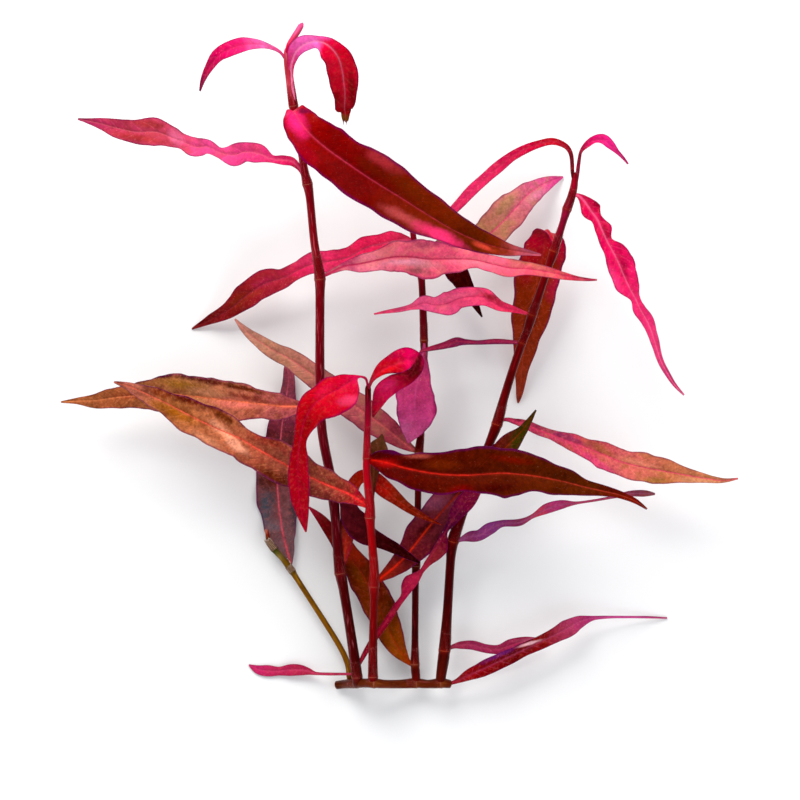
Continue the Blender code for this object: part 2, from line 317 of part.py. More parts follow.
OTHER_LEAVES = (
    Leaf("rootstock_leaf", "rootstock", (0.62, 0.02, 0.08), (
        (448, 684, 6.8, 1.5, 1.5), (457, 681, 8.0, 2.5, 2.5), (467, 676, 9.0, 5.5, 5.0),
        (477, 671.5, 9.8, 7.0, 7.0), (488, 666.5, 10.4, 8.0, 8.0), (505, 658.5, 10.8, 7.5, 8.0),
        (522, 650.5, 11.0, 7.0, 7.0), (540, 642, 10.8, 6.5, 7.5), (556, 634.5, 10.0, 7.5, 8.0),
        (568, 628, 9.0, 9.0, 9.0), (580, 621.5, 7.8, 6.0, 6.5), (593, 618, 6.6, 2.3, 2.5),
        (610, 617, 5.0, 1.3, 1.5), (630, 617, 3.2, 1.2, 1.2), (648, 617.2, 1.6, 1.2, 1.2),
        (667, 618, 0.3, 0.8, 0.8)), fold=6.0),
    Leaf("broken_stem_leaf", "broken_stem", (0.22, 0.10, 0.07), (
        (290.5, 569, 5.3, 1.2, 1.2), (290.5, 565, 3.0, 1.6, 1.6), (289, 557, 2.5, 4.5, 5.0),
        (286, 546, 2.2, 12.0, 9.0), (283, 534, 1.8, 16.0, 13.0), (280, 515, 1.2, 19.5, 18.0),
        (278, 495, 0.6, 22.0, 20.0), (277, 470, 0.3, 21.0, 21.0), (280, 445, 0.3, 17.0, 19.0),
        (282, 425, 0.7, 13.5, 17.0), (285, 405, 1.5, 8.5, 12.0), (288, 385, 2.5, 6.0, 7.5),
        (288, 370, 3.3, 4.5, 5.5), (287, 356, 4.1, 0.8, 0.8)), fold=2.0, face=(0.0, 1.0, 1.0)),
)

LEAVES = TALL_LEAVES + FRONT_LEAVES + MIDDLE_LEAVES + RIGHT_LEAVES + OTHER_LEAVES

LEAF_ROUGHNESS = 0.35
STEM_ROUGHNESS = 0.3


def place(across, down, height):
    """The point in space that is seen at a drawn point, from its height in millimetres."""
    z = height * MILLIMETRE
    nearness = (VIEW_HEIGHT - z) / (VIEW_HEIGHT - TRUE_HEIGHT)
    x = (across - EYE[0]) * STEP * nearness
    y = (EYE[1] - down) * STEP * nearness + (ORIGIN_DOWN - EYE[1]) * STEP
    return Vector((x, y, z))


def along(points, where):
    """The values at a place between 0 and 1 on a smooth curve through rows of numbers."""
    spot = min(max(where, 0.0), 1.0) * (len(points) - 1)
    index = min(int(spot), len(points) - 2)
    t = spot - index
    before = points[max(index - 1, 0)]
    start = points[index]
    end = points[index + 1]
    after = points[min(index + 2, len(points) - 1)]
    values = []
    for p0, p1, p2, p3 in zip(before, start, end, after):
        slope_1 = (p2 - p0) / 2.0
        slope_2 = (p3 - p1) / 2.0
        a = 2.0 * p1 - 2.0 * p2 + slope_1 + slope_2
        b = -3.0 * p1 + 3.0 * p2 - 2.0 * slope_1 - slope_2
        values.append(((a * t + b) * t + slope_1) * t + p1)
    return values


def drawn_length(points):
    """The length of a drawn line through rows that start with (across, down)."""
    return sum(math.dist(p[:2], q[:2]) for p, q in zip(points, points[1:]))


def stem_rings(points):
    """Rows of numbers at every given point of a stem, and between those that lie far apart."""
    places = []
    for index, (start, end) in enumerate(zip(points, points[1:])):
        parts = max(1, round(math.dist(start[:2], end[:2]) / STEM_RING_SPACING))
        places += [(index + part / parts) / (len(points) - 1) for part in range(parts)]
    return [along(points, where) for where in places + [1.0]]


def make_material(name, colour, roughness):
    """A plain material of one colour."""
    material = bpy.data.materials.new(name)
    material.use_nodes = True
    surface = material.node_tree.nodes["Principled BSDF"]
    surface.inputs["Base Color"].default_value = (*colour, 1.0)
    surface.inputs["Roughness"].default_value = roughness
    surface.inputs["Metallic"].default_value = 0.0
    material.diffuse_color = (*colour, 1.0)
    return material


def make_stem(stem, collection):
    """A round stem with swollen nodes and flat cut ends, as a curve with a bevel."""
    curve = bpy.data.curves.new(stem.name, "CURVE")
    curve.dimensions = "3D"
    curve.bevel_depth = STEP
    curve.bevel_resolution = STEM_BEVEL_RESOLUTION
    curve.use_fill_caps = True
    rings = stem_rings(stem.points)
    spline = curve.splines.new("POLY")
    spline.points.add(len(rings) - 1)
    for point, (across, down, height, radius) in zip(spline.points, rings):
        point.co = (*place(across, down, height), 1.0)
        point.radius = radius
    obj = bpy.data.objects.new(stem.name, curve)
    curve.materials.append(make_material(stem.name, stem.colour, STEM_ROUGHNESS))
    collection.objects.link(obj)
    return obj


class LeafShape:
    """Gives the points of a leaf's middle surface, from its drawn stations."""

    def __init__(self, leaf, stem):
        self.leaf = leaf
        self.axis = [along(stem.points, i / AXIS_SAMPLES) for i in range(AXIS_SAMPLES + 1)]
        self.start = self.first_clear_place()

    def spine(self, where):
        """The point of the midrib at a place between 0 and 1."""
        return place(*along(self.leaf.stations, where)[:3])

    def point(self, where, side):
        """The point at a place along the leaf, with side -1 at the right margin and 1 at the left."""
        leaf = self.leaf
        _, _, _, left, right = along(leaf.stations, where)
        ahead = self.spine(min(where + TANGENT_REACH, 1.0))
        behind = self.spine(max(where - TANGENT_REACH, 0.0))
        tangent = (ahead - behind).normalized()
        turn = min(where / leaf.face_until, 1.0)
        facing = Vector(leaf.face).lerp(Vector((0.0, 0.0, 1.0)), turn * turn * (3.0 - 2.0 * turn))
        across = facing.cross(tangent).normalized()
        upward = tangent.cross(across)
        roll = leaf.roll[0] + (leaf.roll[1] - leaf.roll[0]) * where
        tilt = math.radians(leaf.fold + roll if side > 0 else leaf.fold - roll)
        width = abs(side) * (left if side > 0 else right) * STEP
        point = self.spine(where) + math.copysign(width, side) * across + width * math.tan(tilt) * upward
        point.z = max(point.z, LEAF_THICKNESS / 2)
        return point

    def clearance(self, point):
        """The distance from a point to the skin of the stem."""
        return min((place(*row[:3]) - point).length - row[3] * STEP for row in self.axis)

    def first_clear_place(self):
        """Where the leaf's base ends, just short of the stem that carries it."""
        needed = GAP + LEAF_THICKNESS / 2
        where = 0.0
        while min(self.clearance(self.point(where, side)) for side in (-1, 0, 1)) < needed:
            where += TRIM_STEP
        return where


def make_leaf(leaf, stem, collection):
    """A leaf as a flat grid laid along its midrib, with a thickness."""
    shape = LeafShape(leaf, stem)
    length = drawn_length(leaf.stations) * (1.0 - shape.start)
    rings = max(FEWEST_LEAF_RINGS, round(length / LEAF_RING_SPACING))
    mesh = bpy.data.meshes.new(leaf.name)
    sheet = bmesh.new()
    bmesh.ops.create_grid(sheet, x_segments=rings, y_segments=2, size=1.0)
    for vertex in sheet.verts:
        where = shape.start + (1.0 - shape.start) * (vertex.co.x + 1.0) / 2.0
        vertex.co = shape.point(where, round(vertex.co.y))
    sheet.to_mesh(mesh)
    sheet.free()
    mesh.shade_smooth()
    mesh.materials.append(make_material(leaf.name, leaf.colour, LEAF_ROUGHNESS))
    obj = bpy.data.objects.new(leaf.name, mesh)
    collection.objects.link(obj)
    thickness = obj.modifiers.new("thickness", "SOLIDIFY")
    thickness.thickness = LEAF_THICKNESS
    thickness.offset = 0.0
    return obj


def main():
    for obj in list(bpy.data.objects):
        bpy.data.objects.remove(obj, do_unlink=True)
    collection = bpy.data.collections.new("sao_paulo_persicaria")
    bpy.context.scene.collection.children.link(collection)
    stems = {stem.name: stem for stem in STEMS}
    for stem in STEMS + (BUD,):
        make_stem(stem, collection)
    for leaf in LEAVES:
        make_leaf(leaf, stems[leaf.stem], collection)


main()
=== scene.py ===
"""Sao paulo persicaria: a clump of red stem plants with long narrow leaves, lying on its back.

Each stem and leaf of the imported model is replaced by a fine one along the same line. Stems get
swollen nodes, papery sheaths and cut ends. Leaves get a midrib, side veins, ruffled margins and
colours of their own. Lines are given on a drawing of the plant seen from above: a drawn point is
(across, down) in drawing steps, and its height above the surface is in millimetres.
"""

import logging
import math
import random
from dataclasses import dataclass
from enum import Enum

import bpy
import numpy as np
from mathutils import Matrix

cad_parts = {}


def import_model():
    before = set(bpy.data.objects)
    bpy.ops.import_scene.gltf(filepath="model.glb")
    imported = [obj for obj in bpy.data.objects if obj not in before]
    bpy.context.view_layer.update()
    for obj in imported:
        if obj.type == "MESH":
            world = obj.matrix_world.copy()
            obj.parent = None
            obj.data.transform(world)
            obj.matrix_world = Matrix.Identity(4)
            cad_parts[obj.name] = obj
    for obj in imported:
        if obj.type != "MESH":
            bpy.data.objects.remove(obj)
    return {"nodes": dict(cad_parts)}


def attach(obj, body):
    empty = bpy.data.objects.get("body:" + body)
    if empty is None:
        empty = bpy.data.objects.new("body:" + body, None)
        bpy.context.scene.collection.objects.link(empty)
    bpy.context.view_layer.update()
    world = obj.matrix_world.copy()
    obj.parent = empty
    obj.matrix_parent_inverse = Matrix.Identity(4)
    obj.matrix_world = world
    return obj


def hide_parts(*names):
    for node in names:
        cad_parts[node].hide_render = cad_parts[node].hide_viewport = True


LOG = logging.getLogger("persicaria")

Colour = tuple[float, float, float]
Rows = tuple[tuple[float, ...], ...]
Stops = tuple[tuple[float, str], ...]
Axis = tuple[np.ndarray, np.ndarray, np.ndarray]

MILLIMETRE = 0.001
TINY = 1e-12
LEAST_STEP = 1e-7                   # two rings that are closer have no direction
SEAM = 0.000002                     # points that are closer are merged
FLOOR_GAP = 0.00002                 # how far the lowest leaves stay off the surface

# The drawing, as in the model's source
PLANT_WIDTH = 0.2253                # metres
DRAWN_WIDTH = 676.0                 # drawing steps
STEP = PLANT_WIDTH / DRAWN_WIDTH
VIEW_HEIGHT = 1.511                 # metres from the surface up to the eye
TRUE_HEIGHT = 0.030                 # the height at which a step has its true length
EYE = (400.0, 400.0)                # the drawn point below the eye
ORIGIN_DOWN = 360.0                 # the drawn height of the model's origin

# The mesh of a leaf, in metres unless said otherwise
LEAF_RING = 0.00075                 # length of leaf between two rings of points
LEAF_COLUMNS = 20
LENGTH_STEPS = 200                  # in how many steps its length is measured
NEARBY = 0.01                       # how far on both sides its direction is taken from
SHARP_LEAF = 50.0                   # bend in degrees from which an edge is sharp
EVEN_COLUMNS = 0.25                 # how evenly the columns are spread, between 0 and 1
COLUMN_POWER = 2.2                  # how closely the others gather at the midrib
LEAST_HALF = 0.0001                 # no half of a leaf is narrower
BLADE = 0.00028                     # thickness
FULL_HALF = 0.004                   # half width from which waves and veins have their full size
WAVES = ((1.0, 0.65), (0.61, 0.35), (0.37, 0.15))   # the ruffle's waves: length and height
WAVE_SPREAD = (0.85, 1.2)           # how much shorter or longer a wave may be
JITTER_PACE = 1.3                   # how much faster the margin goes in and out than up and down
UNEVEN = 0.05                       # how much of its width it goes in and out
PUFF = 0.07                         # how much of its width each half rises between rib and margin
VEIN_SPACING = 0.0034
VEIN_NARROWING = 4.0                # a side vein's half width is its spacing divided by this
VEIN_SLANT = 0.75                   # how far a side vein leans to the tip
VEIN_CURVE = 0.4                    # how much more it leans at the margin
QUILT = 0.00007                     # how deep it lies
RIB_WIDTH = (0.0006, 0.0002)        # half width of the midrib at the base and at the tip
RIB_HEIGHT = (0.0006, 0.00005)      # how far it stands out below, at the base and at the tip
RIB_FOOT = 1.2                      # where its side ends, in half widths
FULL_RIB_HALF = 0.0004              # half width of leaf from which it has its full height
LEAST_RIB = 0.3                     # how much of it a narrower leaf keeps
CHANNEL = 0.00012                   # how deep it lies above
CHANNEL_FOOT = 1.8                  # where the channel above it ends, in half widths
PETIOLE_UNTIL = 1.6                 # half width, in those of the rib, up to which it is a petiole
PETIOLE_RISE = 0.0003               # how far a petiole is rounded above
TORN_FROM = 0.97                    # where a torn tip begins
TEETH = ((5.0, 1.0, 3.0), (17.0, 0.0, 1.5))     # its teeth: how many, their shift, their length

# The mesh of a stem, in metres unless said otherwise
STEM_RING = 0.0005
STEM_SIDES = 32
AXIS_STEPS = 60                     # steps from one point to the next that measure the axis
SHARP_STEM = 45.0
FLAT_END = (0.97, 0.8, 0.55, 0.3, 0.08)         # radii of the rings that close a cut
END_RINGS = 9                       # how many rings give the direction of a broken end
LEAST_TIP = 0.003                   # the square of the smallest radius of a bud's tip
# A node: swelling in shares of the radius, distance from the knot, and half width in millimetres
NODE_SHAPE = ((0.05, 0.1, 0.45), (-0.04, 1.2, 0.5))
NODE_MARK = 0.0011                  # half width of a node's colours
BREAK_TEETH = ((2.0, 0.7, 0.0007), (5.0, 0.0, 0.0003))  # how many, their shift, their length
BREAK_DEPTH = 0.0006                # how far down they reach
SHEATH_SIDES = 40
SHEATH_RING = 0.00045
SHEATH_WALL = 0.00006
SHEATH_SPREAD = (0.8, 1.1)          # how much shorter or longer one may be
SHEATH_MOST = 0.8                   # how much of the stem above its node it may cover
SHEATH_GAP = 0.00006                # between the stem and its sheath
SHEATH_FLARE = 0.00016              # how far its upper rim stands off
SHEATH_FOOT = 0.0003                # how far it reaches below the knot
# The teeth of its rim: how many, how much of their shift is drawn, and their size in millimetres
FRAY = ((1.0, 1.0, 1.4), (3.0, 1.0, 0.5), (11.0, 0.0, 0.25))

# Patterns: lumps to the metre
CLOUDS = 210.0
FINE = 480.0
GRAIN = 1300.0
FLECKS = 900.0
PITS = 1100.0
DOTS = 2100.0
STEM_STREAKS = 2600.0
STEM_CLOUDS = 420.0
STEM_GRAIN = 3200.0
SHEATH_THREADS = 3600.0
SHEATH_CLOUDS = 500.0
SHINE_SIDE = 650.0                  # turns a place across a stem into -1 to 1

MIX_A, MIX_B, MIX_RESULT = 6, 7, 2  # the numbers of a colour mix's sockets

# Colours that all leaves or stems share
VEIL = (0.003, 0.009, 0.008)        # what the sheen adds to every colour
DUST = "e8b09a"
PIT = "2c0608"
STEM_GLOSS = "ff6a80"


def hue(code: str) -> Colour:
    """The linear colour of a screen colour in hexadecimal, less what the sheen adds to it.

    Args:
        code: six hexadecimal digits.

    Returns:
        Red, green and blue between 0 and 1.
    """
    values = (int(code[i:i + 2], 16) / 255.0 for i in (0, 2, 4))
    linear = (v / 12.92 if v <= 0.04045 else ((v + 0.055) / 1.055) ** 2.4 for v in values)
    return tuple(max(v - veil, 0.0) for v, veil in zip(linear, VEIL))


def blend(a: float, b: float, share: float) -> float:
    """The value at a share of the way from a to b."""
    return a + (b - a) * share


def place(across: float, down: float, height: float) -> np.ndarray:
    """The point in space that is seen at a drawn point.

    Args:
        across: drawing steps to the right.
        down: drawing steps down.
        height: millimetres above the surface.

    Returns:
        The point, in metres.
    """
    z = height * MILLIMETRE
    nearness = (VIEW_HEIGHT - z) / (VIEW_HEIGHT - TRUE_HEIGHT)
    x = (across - EYE[0]) * STEP * nearness
    y = (EYE[1] - down) * STEP * nearness + (ORIGIN_DOWN - EYE[1]) * STEP
    return np.array((x, y, z))


def unit(vector: np.ndarray) -> np.ndarray:
    """The vector at length 1."""
    return vector / max(float(np.linalg.norm(vector)), TINY)


def along(rows: Rows, where: float) -> list[float]:
    """The values at a place on a smooth curve through rows of numbers.

    Args:
        rows: the rows, evenly spread from 0 to 1.
        where: the place, between 0 and 1.

    Returns:
        One value for each number of a row.
    """
    spot = min(max(where, 0.0), 1.0) * (len(rows) - 1)
    index = min(int(spot), len(rows) - 2)
    t = spot - index
    last = len(rows) - 1
    near = (rows[max(index - 1, 0)], rows[index], rows[index + 1], rows[min(index + 2, last)])
    values = []
    for p0, p1, p2, p3 in zip(*near):
        slope_1 = (p2 - p0) / 2.0
        slope_2 = (p3 - p1) / 2.0
        a = 2.0 * p1 - 2.0 * p2 + slope_1 + slope_2
        b = -3.0 * p1 + 3.0 * p2 - 2.0 * slope_1 - slope_2
        values.append(((a * t + b) * t + slope_1) * t + p1)
    return values


class Slot(Enum):
    """The material slots that stems and leaves carry."""

    CRIMSON_STEM = "crimson_stem"
    DARK_STEM = "dark_stem"
    BROWN_STEM = "brown_stem"
    BRIGHT_PINK = "bright_pink_leaf"
    PINK = "pink_leaf"
    RED = "red_leaf"
    PURPLE = "purple_leaf"
    DARK = "dark_leaf"
    TAN = "tan_leaf"


class Signal:
    """A shader socket that takes part in sums: an expression on signals adds its Math nodes."""

    def __init__(self, recipe: "Recipe", socket: bpy.types.NodeSocket) -> None:
        """Keeps the socket and the recipe that it belongs to."""
        self.recipe = recipe
        self.socket = socket

    def _sum(self, operation: str, *values: "Signal | float") -> "Signal":
        """The result of one Math node."""
        return self.recipe.node("Math", {"operation": operation}, dict(enumerate(values)))

    def part(self, name: str) -> "Signal":
        """Another output of the same node."""
        return Signal(self.recipe, self.socket.node.outputs[name])

    def __add__(self, other: "Signal | float") -> "Signal":
        """self + other."""
        return self._sum("ADD", self, other)

    def __radd__(self, other: float) -> "Signal":
        """other + self."""
        return self._sum("ADD", other, self)

    def __sub__(self, other: "Signal | float") -> "Signal":
        """self - other."""
        return self._sum("SUBTRACT", self, other)

    def __rsub__(self, other: float) -> "Signal":
        """other - self."""
        return self._sum("SUBTRACT", other, self)

    def __mul__(self, other: "Signal | float") -> "Signal":
        """self * other."""
        return self._sum("MULTIPLY", self, other)

    def __rmul__(self, other: float) -> "Signal":
        """other * self."""
        return self._sum("MULTIPLY", other, self)

    def __truediv__(self, other: "Signal | float") -> "Signal":
        """self / other."""
        return self._sum("DIVIDE", self, other)

    def __abs__(self) -> "Signal":
        """The size of self."""
        return self._sum("ABSOLUTE", self)


class Recipe:
    """A node material in the making."""

    def __init__(self, name: str) -> None:
        """Starts a material with a plain surface shader.

        Args:
            name: the material's name.
        """
        self.material = bpy.data.materials.new(name)
        self.material.use_nodes = True
        self.tree = self.material.node_tree
        self.surface = self.tree.nodes["Principled BSDF"]

    def feed(self, socket: bpy.types.NodeSocket, value: "Signal | float | tuple") -> None:
        """Links a signal to a socket, or sets its value.

        Args:
            socket: the input.
            value: a signal, a number, a colour or a vector.
        """
        if isinstance(value, Signal):
            self.tree.links.new(value.socket, socket)
        elif socket.type == "RGBA" and len(value) == 3:
            socket.default_value = (*value, 1.0)
        else:
            socket.default_value = value

    def node(self, kind: str, settings: dict | None = None, sockets: dict | None = None,
             out: int | str = 0) -> Signal:
        """Adds a node.

        Args:
            kind: its type, without the word ShaderNode.
            settings: its own settings. stops are a ramp's (position, colour) pairs.
            sockets: values or signals for its inputs, by name or number.
            out: the output that is wanted.

        Returns:
            The signal of that output.
        """
        node = self.tree.nodes.new("ShaderNode" + kind)
        for key, value in (settings or {}).items():
            if key != "stops":
                setattr(node, key, value)
                continue
            elements = node.color_ramp.elements
            while len(elements) < len(value):
                elements.new(1.0)
            for element, (position, colour) in zip(elements, value):
                element.position = position
                element.color = (*colour, 1.0)
        for key, value in (sockets or {}).items():
            self.feed(node.inputs[key], value)
        return Signal(self, node.outputs[out])

    def smooth(self, value: Signal, low: "Signal | float", high: "Signal | float") -> Signal:
        """Rises softly from 0 to 1 while the value goes from low to high."""
        settings = {"interpolation_type": "SMOOTHSTEP"}
        return self.node("MapRange", settings, {0: value, 1: low, 2: high})

    def mix(self, share: "Signal | float", a: "Signal | Colour", b: "Signal | Colour") -> Signal:
        """The colour at a share of the way from a to b."""
        return self.node("Mix", {"data_type": "RGBA"}, {0: share, MIX_A: a, MIX_B: b}, MIX_RESULT)

    def ramp(self, colours: Stops, where: Signal) -> Signal:
        """The colour at a place between 0 and 1 along a row of colours."""
        stops = tuple((position, hue(code)) for position, code in colours)
        return self.node("ValToRGB", {"stops": stops}, {0: where})

    def lit(self, colour: Signal, light: Signal) -> Signal:
        """The colour, made lighter or darker."""
        return self.node("VectorMath", {"operation": "SCALE"}, {0: colour, "Scale": light})

    def noise(self, vector: Signal, scale: float, detail: float = 3.0) -> Signal:
        """Smooth noise around 0.5, with a number of lumps to the metre."""
        sockets = {"Vector": vector, "Scale": scale, "Detail": detail}
        return self.node("TexNoise", None, sockets)

    def stretched(self, vector: Signal, scale: Colour) -> Signal:
        """The vector with its parts made larger."""
        return self.node("VectorMath", {"operation": "MULTIPLY"}, {0: vector, 1: scale})

    def attribute(self, name: str) -> Signal:
        """A vector that is stored on the piece's points."""
        return self.node("Attribute", {"attribute_name": name}, None, "Vector")

    def relief(self, height: Signal, depth: float, strength: float) -> None:
        """Gives the surface small bumps.

        Args:
            height: the relief, around 0 to 1.
            depth: what 1 stands for, in metres.
            strength: how much of it shows.
        """
        bump = self.node("Bump", None, {"Strength": strength, "Distance": depth, "Height": height})
        self.feed(self.surface.inputs["Normal"], bump)


@dataclass(frozen=True)
class Patch:
    """A soft area of another colour, given on the drawing.

    across and down give its middle, length and width its half sizes in drawing steps, turn the
    direction of its length in degrees, from the right and then up, and share how much of its
    colour shows. Some patches paint a highlight, a glint or a shadow.
    """

    across: float
    down: float
    length: float
    width: float
    turn: float
    colour: str
    share: float = 0.8


# The ranges over which a leaf's marks fade in: of noise for the first six, then of the way to the
# next vein, of the way to the margin, of the midrib's half width, and of the way to the tip
BLOTCH_FADE = (0.46, 0.66)
FLECK_FADE = (0.5, 0.64)
PIT_FADE = (0.66, 0.74)
DOT_FADE = (0.68, 0.76)
VEIN_BREAKS = (0.3, 0.6)
PATCH_FADE = (0.2, 1.35)
VEIN_FADE = (0.02, 0.13)
VEIN_END = (0.7, 0.98)
EDGE_FADE = (0.86, 0.98)
HALO_FADE = (0.6, 2.4)
RIB_FADE = (0.35, 0.95)
UNDER_FADE = (0.05, 0.3)

# How much shows of what is the same on all leaves
DRIFT = 0.12                        # how far the clouds move the leaf's colours along it
HALO_SHARE = 0.2                    # around the midrib, of the midrib's own share
UNDER_SHARE = 0.75
EDGE_SHARE = 0.6
PIT_SHARE = 1.3                     # of the leaf's speckling
FRAY_CLOUDS, FRAY_FINE = 1.2, 0.7   # how much of each noise frays a patch
FRAY_MIDDLE = 0.95                  # their sum where the patch has its true size
NOISE_MIDDLE = 0.75                 # the mean of half of each of the three noises
LIGHTNESS = 0.92

# The patterns and the surface of all leaves
CLOUD_DETAIL = 5.0                  # how finely a noise is broken up
FINE_DETAIL = 4.0
FLECKS_TURNED = (1.0, 1.0, -1.0)    # turned around, so that no two noises meet
PITS_TURNED = (1.0, -1.0, 1.0)
PATCH_DEPTH = 10.0                  # how far up and down a patch reaches, in metres
LEAF_ROUGHNESS = 0.36
CLOUD_ROUGHNESS = 0.2               # what a cloud adds to it
VEIN_ROUGHNESS = 0.08               # what a vein takes off
LEAF_SHINE = 0.2
VEIN_SINK = 0.2                     # how deep a vein lies in the relief
VEINING_SINK = 4.0                  # how much deeper for the leaf's veining
GRAIN_RELIEF = 0.5
FINE_RELIEF = 0.6
RIB_RELIEF = 0.4
LEAF_BUMPS = (0.00022, 0.6)         # depth in metres, and how much of it shows


@dataclass(frozen=True)
class LeafFinish:
    """The colours of a leaf, and how much of each shows.

    colours run from its base to its tip, and so do the two of rib. vein is the side veins' colour,
    mottle that of cloudy blotches, under that of the lower side, margin that of the rim, fleck
    that of small flecks and gloss that of the sheen. contrast is how much its lightness varies.
    """

    colours: Stops
    rib: tuple[str, str]
    vein: str
    mottle: str
    under: str
    margin: str = "5a1050"
    fleck: str = "c05040"
    gloss: str = "ff5a80"
    mottling: float = 0.5
    veining: float = 0.12
    speckling: float = 0.2
    flecking: float = 0.15
    contrast: float = 1.2
    rib_share: float = 0.85
    patches: tuple[Patch, ...] = ()

    def material(self, name: str, stations: Rows) -> bpy.types.Material:
        """Makes the leaf's material.

        Args:
            name: the leaf's name.
            stations: its rows of (across, down, height, half widths), for the patches' heights.

        Returns:
            The material.
        """
        recipe = Recipe(name)
        spot = recipe.node("TexCoord", None, None, "Object")
        where = recipe.node("SeparateXYZ", None, {0: recipe.attribute("leaf")}, "X")
        side, upper = abs(where.part("Y")), where.part("Z")
        lie = recipe.node("SeparateXYZ", None, {0: recipe.attribute("lie")}, "X")
        reach = abs(lie.part("Y")) / (where * (RIB_WIDTH[1] - RIB_WIDTH[0]) + RIB_WIDTH[0])
        clouds = recipe.noise(spot, CLOUDS, CLOUD_DETAIL)
        fine = recipe.noise(spot, FINE, FINE_DETAIL)
        grain = recipe.noise(spot, GRAIN)
        colour = recipe.ramp(self.colours, where + (clouds - 0.5) * DRIFT)
        blotches = recipe.smooth(clouds, *BLOTCH_FADE) * self.mottling
        colour = recipe.mix(blotches, colour, hue(self.mottle))
        fray = clouds * FRAY_CLOUDS + fine * FRAY_FINE
        for patch in self.patches:
            colour = self.patched(recipe, colour, patch, stations, spot, fray)
        flecks = recipe.noise(recipe.stretched(spot, FLECKS_TURNED), FLECKS)
        flecks = recipe.smooth(flecks, *FLECK_FADE) * self.flecking
        colour = recipe.mix(flecks, colour, hue(self.fleck))
        away = recipe.node("Math", {"operation": "PINGPONG"}, {0: lie.part("Z"), 1: 0.5})
        lines = (1.0 - recipe.smooth(away, *VEIN_FADE)) * (1.0 - recipe.smooth(side, *VEIN_END))
        veins = lines * recipe.smooth(fine, *VEIN_BREAKS)
        colour = recipe.mix(veins * self.veining, colour, hue(self.vein))
        halo = (1.0 - recipe.smooth(reach, *HALO_FADE)) * (HALO_SHARE * self.rib_share)
        rib = (1.0 - recipe.smooth(reach, *RIB_FADE)) * self.rib_share
        rib_colour = recipe.mix(where, hue(self.rib[0]), hue(self.rib[1]))
        colour = recipe.mix(halo, colour, rib_colour)
        lower = (1.0 - upper) * recipe.smooth(where, *UNDER_FADE) * UNDER_SHARE
        colour = recipe.mix(lower, colour, hue(self.under))
        colour = recipe.mix(rib, colour, rib_colour)
        edge = recipe.smooth(side, *EDGE_FADE) * EDGE_SHARE
        colour = recipe.mix(edge, colour, hue(self.margin))
        dots = recipe.smooth(recipe.noise(spot, DOTS, 1.0), *DOT_FADE) * self.speckling
        colour = recipe.mix(dots, colour, hue(DUST))
        pits = recipe.noise(recipe.stretched(spot, PITS_TURNED), PITS, 2.0)
        pits = recipe.smooth(pits, *PIT_FADE) * (self.speckling * PIT_SHARE)
        colour = recipe.mix(pits, colour, hue(PIT))
        light = (grain * 0.5 + fine * 0.5 + clouds * 0.5 - NOISE_MIDDLE) * self.contrast
        colour = recipe.lit(colour, light + LIGHTNESS)
        surface = recipe.surface.inputs
        recipe.feed(surface["Base Color"], colour)
        roughness = LEAF_ROUGHNESS + clouds * CLOUD_ROUGHNESS - veins * VEIN_ROUGHNESS
        recipe.feed(surface["Roughness"], roughness)
        surface["Specular IOR Level"].default_value = LEAF_SHINE
        surface["Specular Tint"].default_value = (*hue(self.gloss), 1.0)
        sunk = veins * (VEIN_SINK + self.veining * VEINING_SINK)
        height = grain * GRAIN_RELIEF + fine * FINE_RELIEF - sunk + rib * RIB_RELIEF
        recipe.relief(height, *LEAF_BUMPS)
        return recipe.material

    def patched(self, recipe: Recipe, colour: Signal, patch: Patch, stations: Rows,
                spot: Signal, fray: Signal) -> Signal:
        """Lays one patch over a colour.

        Args:
            recipe: the material in the making.
            colour: what lies under the patch.
            patch: the patch.
            stations: the leaf's rows, of which the nearest gives the patch its height.
            spot: the place on the piece.
            fray: noise around FRAY_MIDDLE that frays the patch's edge.

        Returns:
            The new colour.
        """
        drawn = (patch.across, patch.down)
        nearest = min(stations, key=lambda row: math.dist(row[:2], drawn))
        middle = place(patch.across, patch.down, nearest[2])
        sockets = {
            "Vector": spot,
            "Location": tuple(middle),
            "Rotation": (0.0, 0.0, math.radians(patch.turn)),
            "Scale": (patch.length * STEP, patch.width * STEP, PATCH_DEPTH),
        }
        local = recipe.node("Mapping", {"vector_type": "TEXTURE"}, sockets)
        distance = recipe.node("VectorMath", {"operation": "LENGTH"}, {0: local}, "Value")
        share = 1.0 - recipe.smooth(distance + fray - FRAY_MIDDLE, *PATCH_FADE)
        return recipe.mix(share * patch.share, colour, hue(patch.colour))


# The ranges over which a stem's marks fade in: of noise for the first two, then of how near the
# knot is, and of the way across the stem
DARK_FADE = (0.5, 0.72)
STREAK_FADE = (0.55, 0.72)
RING_FADE = (0.93, 0.99)
SHADE_FADE = (-0.9, 0.3)

# How much of each shows on all stems
DARK_SHARE = 0.6
STREAK_SHARE = 0.35
NODE_SHARE = 0.45
RING_SHARE = 0.35

# The patterns and the surface of all stems
STREAKED = (1.0, 1.0, 0.08)         # how a pattern is scaled across, across and along the stem
CLOUDED = (1.0, 1.0, 0.5)
STEM_CLOUD_DETAIL = 4.0
STEM_GRAIN_DETAIL = 2.0
LEAST_LIGHT = 0.52                  # the lightness without the next two
GRAIN_LIGHT = 0.4
STREAK_LIGHT = 0.5
STEM_ROUGHNESS = 0.3
STEM_CLOUD_ROUGHNESS = 0.15
STEM_SHINE = 0.25
STREAK_RELIEF = 0.8
STEM_GRAIN_RELIEF = 0.3
STEM_BUMPS = (0.00012, 0.5)


